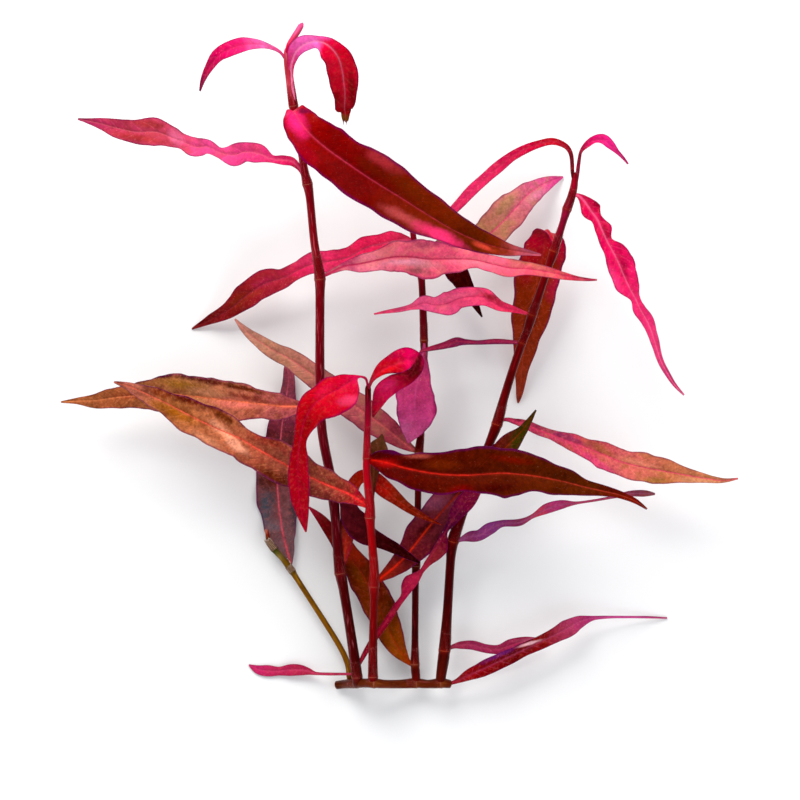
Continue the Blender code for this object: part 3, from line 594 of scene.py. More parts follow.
@dataclass(frozen=True)
class StemFinish:
    """The colours of a stem.

    colours run from its tip to its foot. node is the colour around the knots, streak that of thin
    pale streaks, blotch that of dark clouds, ring that of the knots' rims, cut that of a cut end,
    and shade darkens the side that is turned from the light as much as shading says.
    """

    colours: Stops
    node: str
    streak: str
    blotch: str
    ring: str = "d89a78"
    cut: str = "b86a50"
    shade: str = "2a0408"
    shading: float = 0.55

    def material(self, name: str) -> bpy.types.Material:
        """Makes the stem's material.

        Args:
            name: the material's name.

        Returns:
            The material.
        """
        recipe = Recipe(name)
        where = recipe.node("SeparateXYZ", None, {0: recipe.attribute("stem")}, "X")
        knot, cut = where.part("Y"), where.part("Z")
        tube = recipe.attribute("tube")
        streaks = recipe.noise(recipe.stretched(tube, STREAKED), STEM_STREAKS)
        clouds = recipe.noise(recipe.stretched(tube, CLOUDED), STEM_CLOUDS, STEM_CLOUD_DETAIL)
        grain = recipe.noise(tube, STEM_GRAIN, STEM_GRAIN_DETAIL)
        colour = recipe.ramp(self.colours, where)
        dark = recipe.smooth(clouds, *DARK_FADE) * DARK_SHARE
        colour = recipe.mix(dark, colour, hue(self.blotch))
        pale = recipe.smooth(streaks, *STREAK_FADE) * STREAK_SHARE
        colour = recipe.mix(pale, colour, hue(self.streak))
        colour = recipe.mix(knot * NODE_SHARE, colour, hue(self.node))
        ring = recipe.smooth(knot, *RING_FADE) * RING_SHARE
        colour = recipe.mix(ring, colour, hue(self.ring))
        colour = recipe.mix(cut, colour, hue(self.cut))
        sideways = recipe.node("SeparateXYZ", None, {0: tube}, "X") * SHINE_SIDE
        shaded = (1.0 - recipe.smooth(sideways, *SHADE_FADE)) * self.shading
        colour = recipe.mix(shaded, colour, hue(self.shade))
        colour = recipe.lit(colour, grain * GRAIN_LIGHT + streaks * STREAK_LIGHT + LEAST_LIGHT)
        surface = recipe.surface.inputs
        recipe.feed(surface["Base Color"], colour)
        recipe.feed(surface["Roughness"], STEM_ROUGHNESS + clouds * STEM_CLOUD_ROUGHNESS)
        surface["Specular IOR Level"].default_value = STEM_SHINE
        surface["Specular Tint"].default_value = (*hue(STEM_GLOSS), 1.0)
        recipe.relief(streaks * STREAK_RELIEF + grain * STEM_GRAIN_RELIEF, *STEM_BUMPS)
        return recipe.material


THREADED = (1.0, 1.0, 0.05)
THREAD_FADE = (0.55, 0.72)
THREAD_SHARE = 0.6
RIM_FADE = (0.0, 0.08)              # of the way down from a sheath's rim
EVEN_COVER = 0.6                    # how much of its cover is even
CLOUD_COVER = 0.5                   # and how much is cloudy
THREAD_COVER = 0.1                  # how much more a thread covers
SHEATH_ROUGHNESS = 0.55
SHEATH_SHINE = 0.3
SHEATH_BUMPS = (0.0001, 0.5)


@dataclass(frozen=True)
class SheathFinish:
    """The look of papery sheaths: a thin skin with pale threads that lets the stem show.

    cover is how much of the skin is seen, between 0 and 1.
    """

    skin: str = "8a0c1c"
    thread: str = "d07470"
    cover: float = 0.08

    def material(self, name: str) -> bpy.types.Material:
        """Makes the sheaths' material.

        Args:
            name: the material's name.

        Returns:
            The material.
        """
        recipe = Recipe(name)
        tube = recipe.attribute("tube")
        fray = recipe.node("SeparateXYZ", None, {0: recipe.attribute("stem")}, "X")
        threads = recipe.noise(recipe.stretched(tube, THREADED), SHEATH_THREADS)
        clouds = recipe.noise(tube, SHEATH_CLOUDS)
        lines = recipe.smooth(threads, *THREAD_FADE)
        colour = recipe.mix(lines * THREAD_SHARE, hue(self.skin), hue(self.thread))
        colour = recipe.mix(recipe.smooth(fray, *RIM_FADE), hue(self.thread), colour)
        cover = self.cover * (EVEN_COVER + clouds * CLOUD_COVER)
        cover = cover + lines * (self.cover + THREAD_COVER)
        surface = recipe.surface.inputs
        recipe.feed(surface["Base Color"], colour)
        recipe.feed(surface["Alpha"], cover)
        surface["Roughness"].default_value = SHEATH_ROUGHNESS
        surface["Specular IOR Level"].default_value = SHEATH_SHINE
        recipe.relief(threads, *SHEATH_BUMPS)
        return recipe.material


def new_grid(name: str, rings: int,
             columns: int) -> tuple[bpy.types.Object, np.ndarray, np.ndarray]:
    """Adds a flat grid to be laid along a line.

    Args:
        name: the piece's name.
        rings: how many fields it has lengthwise.
        columns: how many fields it has across.

    Returns:
        The piece, each point's row from 0 to rings, and its place across from -1 to 1.
    """
    bpy.ops.object.select_all(action="DESELECT")
    bpy.ops.mesh.primitive_grid_add(x_subdivisions=rings, y_subdivisions=columns, size=2.0)
    piece = bpy.context.object
    piece.name = piece.data.name = name
    flat = points_of(piece)
    return piece, np.rint((flat[:, 0] + 1.0) / 2.0 * rings).astype(int), flat[:, 1]


def points_of(piece: bpy.types.Object) -> np.ndarray:
    """The places of a piece's points.

    Args:
        piece: the piece.

    Returns:
        One row of three numbers for each point.
    """
    flat = np.empty(len(piece.data.vertices) * 3)
    piece.data.vertices.foreach_get("co", flat)
    return flat.reshape(-1, 3)


def move_points(piece: bpy.types.Object, points: np.ndarray) -> None:
    """Puts a piece's points in new places."""
    piece.data.vertices.foreach_set("co", points.ravel())
    piece.data.update()


def note(piece: bpy.types.Object, name: str, *values: np.ndarray) -> None:
    """Stores three numbers on each point of a piece, which its material reads."""
    attribute = piece.data.attributes.new(name, "FLOAT_VECTOR", "POINT")
    attribute.data.foreach_set("vector", np.column_stack(values).ravel())


def thicken(piece: bpy.types.Object, thickness: float) -> None:
    """Gives a sheet a wall, half of it on either side.

    Args:
        piece: the sheet, which is the active object.
        thickness: of the wall, in metres.
    """
    modifier = piece.modifiers.new("wall", "SOLIDIFY")
    modifier.thickness = thickness
    modifier.offset = 0.0
    modifier.use_even_offset = False
    bpy.ops.object.modifier_apply(modifier=modifier.name)


def close_tube(piece: bpy.types.Object, ends: bool) -> None:
    """Joins the seam of a sheet that is rolled into a tube, and turns its faces outwards.

    Args:
        piece: the rolled sheet.
        ends: whether the tube's ends are closed.
    """
    bpy.ops.object.mode_set(mode="EDIT")
    bpy.ops.mesh.select_all(action="SELECT")
    bpy.ops.mesh.remove_doubles(threshold=SEAM)
    if ends:
        bpy.ops.mesh.fill_holes(sides=0)
    bpy.ops.mesh.select_all(action="SELECT")
    bpy.ops.mesh.normals_make_consistent(inside=False)
    bpy.ops.object.mode_set(mode="OBJECT")


def smooth_faces(piece: bpy.types.Object, angle: float) -> None:
    """Shades a piece smooth, but for its sharp edges.

    Args:
        piece: the piece.
        angle: the bend in degrees from which an edge is sharp.
    """
    bpy.ops.object.select_all(action="DESELECT")
    piece.select_set(True)
    bpy.context.view_layer.objects.active = piece
    bpy.ops.object.shade_smooth_by_angle(angle=math.radians(angle))


def finish_piece(piece: bpy.types.Object, material: bpy.types.Material) -> None:
    """Dresses a piece, hangs it on the plant's one body and reports it.

    Args:
        piece: the piece.
        material: its material.
    """
    piece.data.materials.clear()
    piece.data.materials.append(material)
    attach(piece, "root")
    LOG.info("%s: %d points", piece.name, len(piece.data.vertices))


@dataclass(frozen=True)
class Leaf:
    """A leaf: stations (across, down, height, left half width, right half width) from its base.

    The first station lies on the axis of the stem that carries the leaf. fold lifts both margins,
    and roll lifts the left one and lowers the right one, in degrees, at the base and at the tip.
    face is the way that the seen side faces at the base, and it turns upwards until the place
    face_until. ruffle is the height of the margin's waves in millimetres and waves their length.
    torn gives the leaf a torn tip.
    """

    name: str
    slot: Slot
    finish: LeafFinish
    stations: Rows
    fold: float = 8.0
    roll: tuple[float, float] = (0.0, 0.0)
    face: tuple[float, float, float] = (0.0, 0.0, 1.0)
    face_until: float = 0.2
    ruffle: float = 0.7
    waves: float = 13.0
    torn: bool = False

    def spine(self, where: float) -> np.ndarray:
        """The point of the midrib at a place between 0 and 1."""
        return place(*along(self.stations, where)[:3])

    def frame_at(self, where: float) -> tuple[np.ndarray, ...]:
        """The leaf at one place.

        Args:
            where: the place, between 0 and 1.

        Returns:
            Its middle, the way across, the way up, and its half widths in metres.
        """
        _, _, _, left, right = along(self.stations, where)
        ahead, behind = min(where + NEARBY, 1.0), max(where - NEARBY, 0.0)
        tangent = unit(self.spine(ahead) - self.spine(behind))
        turn = min(where / self.face_until, 1.0)
        turn = turn * turn * (3.0 - 2.0 * turn)
        facing = np.array(self.face) * (1.0 - turn) + np.array((0.0, 0.0, 1.0)) * turn
        across = unit(np.cross(facing, tangent))
        upward = np.cross(tangent, across)
        return self.spine(where), across, upward, np.array((left, right)) * STEP

    def length(self) -> float:
        """The length of the midrib, in metres."""
        points = [self.spine(where) for where in np.linspace(0.0, 1.0, LENGTH_STEPS + 1)]
        return sum(float(np.linalg.norm(b - a)) for a, b in zip(points, points[1:]))

    def build(self) -> bpy.types.Object:
        """Lays a grid along the midrib, ruffles it and gives it a blade, a rib and a petiole.

        Returns:
            The leaf, with what its material reads stored on its points.
        """
        length = self.length()
        rings = round(length / LEAF_RING)
        piece, row, flat_side = new_grid(self.name + "_blade", rings, LEAF_COLUMNS)
        frames = [self.frame_at(i / rings) for i in range(rings + 1)]
        centre, across, upward, halves = (np.array(part)[row] for part in zip(*frames))
        where = row / rings
        arc = where * length
        even, gathered = EVEN_COLUMNS * abs(flat_side), abs(flat_side) ** COLUMN_POWER
        side = np.sign(flat_side) * (even + (1.0 - EVEN_COLUMNS) * gathered)
        left = side > 0.0
        half = np.maximum(np.where(left, halves[:, 0], halves[:, 1]), LEAST_HALF)
        narrow = np.minimum(halves.min(axis=1) / FULL_HALF, 1.0)
        wave, jitter = self.waves_at(arc, left)
        width = abs(side) * half * (1.0 + UNEVEN * jitter * narrow * abs(side))
        roll = self.roll[0] + (self.roll[1] - self.roll[0]) * where
        tilt = np.radians(np.where(left, self.fold + roll, self.fold - roll))
        lift = width * np.tan(tilt) + PUFF * half * np.sin(np.pi * abs(side)) * narrow
        lift += self.ruffle * MILLIMETRE * wave * narrow * abs(side) ** 2.0
        phase = (arc - VEIN_SLANT * width - VEIN_CURVE * width * abs(side)) / VEIN_SPACING
        phase = phase + np.where(left, 0.0, 0.5)
        vein = np.clip(1.0 - VEIN_NARROWING * abs(phase - np.rint(phase)), 0.0, 1.0)
        lift -= QUILT * (vein * (1.0 - abs(side) ** 3)) * narrow
        points = centre + (np.sign(side) * width)[:, None] * across + lift[:, None] * upward
        if self.torn:
            points += self.tear(where, side)[:, None] * (frames[-1][0] - frames[-2][0])
        move_points(piece, points)
        thicken(piece, BLADE)
        self.shape_rib(piece, points, upward, where, width, halves.min(axis=1))
        note(piece, "leaf", np.tile(where, 2), np.tile(side, 2), self.shell(piece, points, upward))
        note(piece, "lie", np.tile(arc, 2), np.tile(np.sign(side) * width, 2), np.tile(phase, 2))
        smooth_faces(piece, SHARP_LEAF)
        return piece

    def waves_at(self, arc: np.ndarray, left: np.ndarray) -> tuple[np.ndarray, np.ndarray]:
        """The ruffle and the unevenness of the margins, each about -1 to 1.

        Args:
            arc: each point's distance from the base.
            left: whether it lies on the left half.

        Returns:
            The height and the width of the waves at each point.
        """
        dice = random.Random(self.name)
        wave = np.zeros(len(arc))
        jitter = np.zeros(len(arc))
        for part, size in WAVES:
            for half in (True, False):
                spacing = self.waves * MILLIMETRE * part * dice.uniform(*WAVE_SPREAD)
                turn, other = dice.uniform(0.0, math.tau), dice.uniform(0.0, math.tau)
                chosen = left == half
                wave[chosen] += size * np.sin(arc[chosen] / spacing * math.tau + turn)
                phase = arc[chosen] / spacing * math.tau * JITTER_PACE + other
                jitter[chosen] += size * np.sin(phase)
        return wave, jitter

    def tear(self, where: np.ndarray, side: np.ndarray) -> np.ndarray:
        """How far each point of a torn tip is pulled back or out, in rings."""
        teeth = sum(np.sin(side * count + shift) * size for count, shift, size in TEETH)
        return teeth * np.clip((where - TORN_FROM) / (1.0 - TORN_FROM), 0.0, 1.0)

    def shell(self, piece: bpy.types.Object, middle: np.ndarray, upward: np.ndarray) -> np.ndarray:
        """1 for each point of the upper side, and 0 for the lower side."""
        side = ((points_of(piece) - np.tile(middle, (2, 1))) * np.tile(upward, (2, 1))).sum(axis=1)
        return (side > 0.0).astype(float)

    def shape_rib(self, piece: bpy.types.Object, middle: np.ndarray, upward: np.ndarray,
                  where: np.ndarray, width: np.ndarray, narrowest: np.ndarray) -> None:
        """Sinks the midrib a little above, lets it stand out below, and rounds the petiole.

        Args:
            piece: the leaf, with its two sides.
            middle: the points of the sheet that it was made from.
            upward: the way up at each of them.
            where: their places along the leaf.
            width: their distances from the midrib.
            narrowest: the leaf's smaller half width there.
        """
        rib_width = blend(*RIB_WIDTH, where)
        bump = np.clip(1.0 - (width / (rib_width * RIB_FOOT)) ** 2, 0.0, 1.0)
        groove = np.clip(1.0 - (width / (rib_width * CHANNEL_FOOT)) ** 2, 0.0, 1.0)
        petiole = np.clip(PETIOLE_UNTIL - narrowest / rib_width, 0.0, 1.0)
        thinning = np.clip(narrowest / FULL_RIB_HALF, LEAST_RIB, 1.0)
        below = bump * blend(*RIB_HEIGHT, np.sqrt(where)) * thinning
        above = petiole * bump * PETIOLE_RISE - (1.0 - petiole) * groove * CHANNEL
        upper = self.shell(piece, middle, upward)
        height = np.where(upper > 0.5, np.tile(above, 2), -np.tile(below, 2))
        points = points_of(piece) + height[:, None] * np.tile(upward, (2, 1))
        points[:, 2] = np.maximum(points[:, 2], np.where(upper > 0.5, BLADE, FLOOR_GAP))
        move_points(piece, points)

    def dress(self, piece: bpy.types.Object) -> None:
        """Colours the leaf and lets it stand for its plain solid."""
        finish_piece(piece, self.finish.material(self.name + "_skin", self.stations))
        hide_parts(self.name)


@dataclass(frozen=True)
class Ring:
    """One ring of points of a stem: arc is its distance from the tip, and cut is 1 on a cut end."""

    middle: np.ndarray
    radius: float
    arc: float
    where: float
    cut: float


class End(Enum):
    """How a stem ends."""

    BUD = "narrowed to a round point"
    CUT = "cut flat"
    BROKEN = "broken off"


@dataclass(frozen=True)
class Stem:
    """A stem: points (across, down, height, radius) from its tip to its foot.

    A point that is thicker than both of its neighbours is a node. sheath is the length of the
    papery sheath above each node in millimetres, or 0 for none.
    """

    name: str
    slot: Slot
    finish: StemFinish
    points: Rows
    tip: End = End.BUD
    sheath: float = 7.0
    sheath_finish: SheathFinish = SheathFinish()

    def measured(self) -> Axis:
        """Measures the stem's axis in fine steps.

        Returns:
            The places from 0 to 1, their points, and their distances from the tip.
        """
        wheres = np.linspace(0.0, 1.0, AXIS_STEPS * len(self.points))
        points = np.array([place(*along(self.points, where)[:3]) for where in wheres])
        steps = np.linalg.norm(np.diff(points, axis=0), axis=1)
        return wheres, points, np.concatenate(((0.0,), np.cumsum(steps)))

    def knots(self) -> list[float]:
        """Finds the nodes.

        Returns:
            Their distances from the tip, in metres.
        """
        wheres, _, arcs = self.measured()
        last = len(self.points) - 1
        thick = [i for i in range(1, last)
                 if self.points[i][3] > max(self.points[i - 1][3], self.points[i + 1][3])]
        return [float(np.interp(i / last, wheres, arcs)) for i in thick]

    def radius_at(self, arc: float, where: float, knots: list[float]) -> float:
        """The stem's radius, with a ridge and a groove at each node.

        Args:
            arc: the distance from the tip.
            where: the place there, between 0 and 1.
            knots: the distances of the nodes from the tip.

        Returns:
            The radius, in metres.
        """
        radius = along(self.points, where)[3] * STEP
        for knot in knots:
            away = (arc - knot) / MILLIMETRE
            for swelling, offset, breadth in NODE_SHAPE:
                radius *= 1.0 + swelling * math.exp(-((away - offset) / breadth) ** 2)
        return radius

    def rings(self) -> list[Ring]:
        """Spreads rings along the stem.

        Returns:
            The rings, with those that close its ends.
        """
        axis = self.measured()
        knots = self.knots()
        total = float(axis[2][-1])
        rings = []
        for arc in np.linspace(0.0, total, round(total / STEM_RING) + 1):
            where, middle = spot_on(axis, float(arc))
            radius = self.radius_at(float(arc), where, knots)
            if self.tip is End.BUD:
                near = min(float(arc) / (2.0 * radius), 1.0)
                radius *= math.sqrt(max(1.0 - (1.0 - near) ** 2, LEAST_TIP))
            rings.append(Ring(middle, radius, float(arc), where, 0.0))
        if self.tip is not End.BUD:
            rings = self.closing(rings[0])[::-1] + rings
        return rings + self.closing(rings[-1])

    def closing(self, last: Ring) -> list[Ring]:
        """The rings of a flat end, from its rim inwards."""
        return [Ring(last.middle, last.radius * part, last.arc, last.where, 1.0)
                for part in FLAT_END]

    def build(self) -> bpy.types.Object:
        """Rolls a grid into a tube along the stem and closes its ends.

        Returns:
            The stem, with what its material reads stored on its points.
        """
        rings = self.rings()
        piece, row, side = new_grid(self.name + "_stalk", len(rings) - 1, STEM_SIDES)
        points, tube, turn = roll_tube([(r.middle, r.radius, r.arc) for r in rings], row, side)
        knots = np.array(self.knots())
        arc = np.array([r.arc for r in rings])[row]
        if self.tip is End.BROKEN:
            teeth = sum(np.sin(turn * count + shift) * size for count, shift, size in BREAK_TEETH)
            outwards = unit(rings[0].middle - rings[END_RINGS].middle)
            points += (teeth * np.exp(-arc / BREAK_DEPTH))[:, None] * outwards
        move_points(piece, points)
        near = np.exp(-((arc[:, None] - knots[None, :]) / NODE_MARK) ** 2).sum(axis=1)
        where = np.array([r.where for r in rings])[row]
        cut = np.array([r.cut for r in rings])[row]
        note(piece, "stem", where, np.minimum(near, 1.0), cut)
        note(piece, "tube", *tube.T)
        close_tube(piece, True)
        smooth_faces(piece, SHARP_STEM)
        return piece

    def build_sheaths(self) -> bpy.types.Object | None:
        """Wraps each node in a thin sleeve with a frayed upper rim.

        Returns:
            The sleeves as one piece, or None for a stem without any.
        """
        knots = self.knots()
        if not self.sheath or not knots:
            return None
        dice = random.Random(self.name)
        sleeves = [self.sleeve(knot, knots, dice) for knot in knots]
        for sleeve in sleeves:
            sleeve.select_set(True)
        bpy.context.view_layer.objects.active = sleeves[0]
        if len(sleeves) > 1:
            bpy.ops.object.join()
        sleeves[0].name = sleeves[0].data.name = f"{self.name}_sheaths"
        return sleeves[0]

    def sleeve(self, knot: float, knots: list[float], dice: random.Random) -> bpy.types.Object:
        """Makes the sleeve of one node.

        Args:
            knot: the node's distance from the tip.
            knots: those of all nodes.
            dice: what its length and its teeth are drawn from.

        Returns:
            The sleeve.
        """
        axis = self.measured()
        length = self.sheath * MILLIMETRE * dice.uniform(*SHEATH_SPREAD)
        length = min(length, knot * SHEATH_MOST)
        rows = round(length / SHEATH_RING)
        line = []
        for arc in np.linspace(knot - length, knot + SHEATH_FOOT, rows + 1):
            where, middle = spot_on(axis, float(arc))
            flare = SHEATH_FLARE * max((knot - arc) / length, 0.0) ** 3
            radius = self.radius_at(float(arc), where, knots) + SHEATH_GAP + flare
            line.append((middle, radius, float(arc)))
        piece, row, side = new_grid(f"{self.name}_sheaths", rows, SHEATH_SIDES)
        laid, tube, turn = roll_tube(line, row, side)
        up = 1.0 - row / rows
        shift = dice.uniform(0.0, math.tau)
        teeth = sum(np.sin(turn * count + shift * own) * size for count, own, size in FRAY)
        teeth *= MILLIMETRE * np.clip((up - 0.5) * 2.0, 0.0, 1.0)
        move_points(piece, laid + teeth[:, None] * unit(line[0][0] - line[-1][0]))
        note(piece, "stem", row / rows, up, up)
        note(piece, "tube", *tube.T)
        close_tube(piece, False)
        thicken(piece, SHEATH_WALL)
        smooth_faces(piece, SHARP_LEAF)
        return piece

    def dress(self, piece: bpy.types.Object, sheaths: bpy.types.Object | None) -> None:
        """Colours the stem and its sheaths, and lets the stem stand for its plain solid.

        Args:
            piece: the stem.
            sheaths: its sheaths, if it has any.
        """
        finish_piece(piece, self.finish.material(self.name + "_skin"))
        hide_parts(self.name)
        if sheaths:
            finish_piece(sheaths, self.sheath_finish.material(self.name + "_paper"))


def spot_on(axis: Axis, arc: float) -> tuple[float, np.ndarray]:
    """The place and the point at a distance from the tip of a stem.

    Args:
        axis: the stem's measured axis.
        arc: the distance, in metres.

    Returns:
        The place between 0 and 1, and the point.
    """
    wheres, points, arcs = axis
    middle = np.array([np.interp(arc, arcs, points[:, side]) for side in range(3)])
    return float(np.interp(arc, arcs, wheres)), middle


def roll_tube(line: list[tuple[np.ndarray, float, float]], row: np.ndarray,
              side: np.ndarray) -> tuple[np.ndarray, np.ndarray, np.ndarray]:
    """Rolls a grid into a tube round a line.

    Args:
        line: the middle, radius and distance from the start of each ring.
        row: each point's ring.
        side: each point's place across the flat grid, from -1 to 1.

    Returns:
        The points, the same points on a straight tube for patterns, and their turns round it.
    """
    middles = np.array([middle for middle, _, _ in line])
    ways = np.gradient(middles, axis=0)
    moving = np.flatnonzero(np.linalg.norm(ways, axis=1) > LEAST_STEP)
    nearest = moving[abs(np.arange(len(ways))[:, None] - moving[None, :]).argmin(axis=1)]
    ways = np.array([unit(ways[index]) for index in nearest])
    sideways = []
    last = unit(np.cross(ways[0], (0.0, 0.0, 1.0)))
    for way in ways:
        last = unit(last - (last @ way) * way)
        sideways.append(last)
    sideways = np.array(sideways)
    over = np.cross(ways, sideways)
    turn = (side + 1.0) * math.pi
    radius = np.array([r for _, r, _ in line])[row]
    arc = np.array([a for _, _, a in line])[row]
    spoke = np.cos(turn)[:, None] * sideways[row] + np.sin(turn)[:, None] * over[row]
    points = middles[row] + radius[:, None] * spoke
    tube = np.column_stack((np.cos(turn) * radius, np.sin(turn) * radius, arc))
    return points, tube, turn


@dataclass(frozen=True)
class Shoot:
    """A stem with the leaves that it carries."""

    stem: Stem
    leaves: tuple[Leaf, ...]

    def build(self) -> None:
        """Makes and dresses the stem and then its leaves."""
        stalk = self.stem.build()
        self.stem.dress(stalk, self.stem.build_sheaths())
        for leaf in self.leaves:
            leaf.dress(leaf.build())


# Finishes, in the order of the pieces
PINK = LeafFinish(
    colours=((0.0, "b81048"), (0.25, "f070b4"), (0.45, "ec2c78"), (0.6, "e01060"), (0.8, "b80a4c"),
        (1.0, "4a0c38")),
    rib=("e03a6a", "b02050"), vein="ff6a9a", mottle="c01044", under="c82a50", mottling=0.3,
    rib_share=0.3)
TORN_RED = LeafFinish(
    colours=((0.0, "c83a5c"), (0.2, "c81a58"), (0.3, "e0509c"), (0.4, "ea68b8"), (0.425, "e058a8"),
        (0.45, "e00840"), (0.52, "d8082c"), (0.64, "c40a2a"), (0.76, "a40e22"), (0.86, "8c0e1a"),
        (0.94, "8c1c14"), (1.0, "4a4410")),
    rib=("ffa0cc", "c03038"), vein="d03a50", mottle="8a0414", under="b02038", mottling=0.3,
    veining=0.06, speckling=0.06, rib_share=0.5,
    patches=(Patch(330, 60, 20, 6, -65, "e00c34"), Patch(352, 90, 20, 5, -85, "700616", 0.9),
        Patch(335, 98, 8, 5, 80, "8c1418", 0.9), Patch(342, 118, 9, 4, 0, "5a4a14")))
BIG_RED = LeafFinish(
    colours=((0.0, "d81048"), (0.1, "c00c30"), (0.22, "960414"), (0.34, "7e080e"), (0.5, "68180a"),
        (0.66, "6c260c"), (0.78, "5a2606"), (0.84, "7a2c18"), (0.9, "b44c50"), (1.0, "c86078")),
    rib=("f04a70", "8a2418"), vein="8a2c20", mottle="3e0a02", under="9a3040", fleck="8a1c10",
    gloss="90180c", mottling=0.35, veining=0.03, speckling=0.05, flecking=0.1, rib_share=0.4,
    patches=(Patch(297, 123, 18, 9, -60, "f42c76", 0.9), Patch(306, 113, 8, 3, -10, "6a0a38", 0.9),
        Patch(304, 152, 22, 8, -50, "940622"), Patch(384, 161, 24, 8, -32, "a8343a", 0.7),
        Patch(372, 168, 22, 6, -35, "602204", 0.6), Patch(412, 190, 30, 8, -38, "5e2804", 0.6),
        # painted glint: Patch(402, 217) and Patch(440, 236) stand for light glinting along the
        # lower margin
        Patch(350, 180, 34, 10, -38, "560602", 0.6), Patch(402, 217, 26, 6, -28, "a84444", 0.85),
        Patch(440, 236, 28, 7, -26, "e43468", 1.0), Patch(484, 247, 13, 3, -22, "cc4434", 0.8)))
LOBED_PINK = LeafFinish(
    colours=((0.0, "a80c34"), (0.15, "d4205c"), (0.28, "e63c7c"), (0.5, "ec4c8c"), (0.64, "c44460"),
        (0.82, "b03450"), (1.0, "98285c")),
    rib=("f0608a", "d06a70"), vein="f07a90", mottle="983a30", under="b83a50", mottling=0.45,
    rib_share=0.4,
    patches=(Patch(148, 124, 18, 5, -12, "a03430"), Patch(176, 137, 10, 7, -40, "f07098", 0.8),
        Patch(138, 138, 34, 4, -10, "a83434", 0.9)))
SALMON = LeafFinish(
    colours=((0.0, "b42050"), (0.1, "b43c64"), (0.22, "ff8098"), (0.34, "fa5a7c"), (0.5, "f8587c"),
        (0.65, "ff6884"), (0.8, "e44c60"), (0.9, "c83048"), (1.0, "7a1438")),
    rib=("b82a50", "d04060"), vein="ff9aa0", mottle="c8806c", under="c05060", fleck="e87868",
    mottling=0.4,
    patches=(Patch(372, 248, 26, 4, 8, "f42c60", 0.9), Patch(410, 241, 12, 3, 0, "b8446c"),
        Patch(426, 245, 20, 5, 6, "a43c5c", 0.85), Patch(421, 264, 22, 6, -4, "d0848a", 0.8),
        # painted highlight and shadow: Patch(404, 262) is a pale highlight streak, Patch(417, 271)
        # a shadow under the lower edge
        Patch(417, 271, 14, 3, -6, "9c585c"), Patch(404, 262, 24, 4, 2, "ee94aa", 0.95),
        Patch(333, 263, 6, 4, 0, "8a2040"), Patch(524, 261, 26, 4, -14, "b06848"),
        Patch(470, 262, 30, 5, -6, "ff8498", 0.6), Patch(350, 256, 12, 5, 20, "d83a68")))
TAN_ROSE = LeafFinish(
    colours=((0.0, "b03c44"), (0.18, "b05458"), (0.32, "b8624e"), (0.5, "ac7048"), (0.75, "945030"),
        (1.0, "a05c38")),
    rib=("e86a50", "c87848"), vein="d08a60", mottle="4a200c", under="9a5040", fleck="d08a50",
    gloss="ff6a48", mottling=0.6, speckling=0.2, flecking=0.12, contrast=2.3,
    patches=(Patch(182, 385, 24, 6, -10, "8a5c20"), Patch(143, 391, 18, 3, -10, "5c1c10", 0.8),
        Patch(160, 396, 18, 5, -5, "84381c", 0.85), Patch(160, 376, 26, 2.6, 0, "3c141c", 0.95),
        Patch(208, 381, 34, 3.6, -10, "4c1c1c", 0.95),
        Patch(246, 389, 28, 2.8, -12, "58240c", 0.95), Patch(208, 393, 24, 5, -12, "b87858"),
        Patch(250, 398, 24, 4, -12, "7a2c24"), Patch(236, 404, 26, 6, -6, "dc7064"),
        Patch(284, 405, 14, 6, 0, "a44440"), Patch(128, 396, 16, 3, -6, "8a3c28")))
NEAR_BLACK = LeafFinish(
    colours=((0.0, "74242e"), (0.35, "581e22"), (0.7, "2c0c0c"), (1.0, "200a06")),
    rib=("6a2030", "30100e"), vein="501828", mottle="140606", under="3a1018", gloss="70202c",
    mottling=0.5, veining=0.05, speckling=0.02, flecking=0.04, rib_share=0.3)
RUSSET = LeafFinish(
    colours=((0.0, "8a1a28"), (0.3, "982a1c"), (0.46, "a82018"), (0.6, "8a2014"), (0.8, "7a2410"),
        (1.0, "5a1010")),
    rib=("c83a20", "c03020"), vein="b04a30", mottle="7a3008", under="802820", gloss="c04028",
    mottling=0.45, rib_share=0.4,
    patches=(Patch(382, 488, 14, 9, -30, "b8201c", 0.8),),
    flecking=0.3)
RIBBON = LeafFinish(
    colours=((0.0, "5a0a1c"), (0.12, "7e1418"), (0.3, "a01c40"), (0.46, "c02a4c"), (0.58, "8a2a30"),
        (0.7, "6a0c30"), (0.78, "461a34"), (0.88, "801c40"), (1.0, "7a1c30")),
    rib=("c02848", "a03050"), vein="d03a60", mottle="50101c", under="a02040", gloss="b02040",
    mottling=0.4, rib_share=0.35)
FOOT_PINK = LeafFinish(
    colours=((0.0, "7a1420"), (0.35, "a02440"), (0.7, "c03058"), (1.0, "c42a68")),
    rib=("d85070", "d04a78"), vein="e06a80", mottle="902838", under="a83050", mottling=0.35,
    rib_share=0.4)
SCARLET = LeafFinish(
    colours=((0.0, "2a0612"), (0.04, "8a0a30"), (0.12, "d01450"), (0.3, "cc0c2c"), (0.45, "c40420"),
        (0.62, "980018"), (0.8, "a40422"), (1.0, "8a0a20")),
    rib=("b82048", "c01838"), vein="e02040", mottle="900010", under="b00a28", mottling=0.3,
    speckling=0.05, rib_share=0.5,
    # painted highlight: Patch(350, 400) is a pink highlight on the blade
    patches=(Patch(350, 400, 13, 6, 15, "f04470", 0.7), Patch(324, 391, 12, 5, 35, "e82044"),
        Patch(306, 424, 16, 5, 80, "8a0012"), Patch(362, 384, 8, 6, -50, "e0205c")))
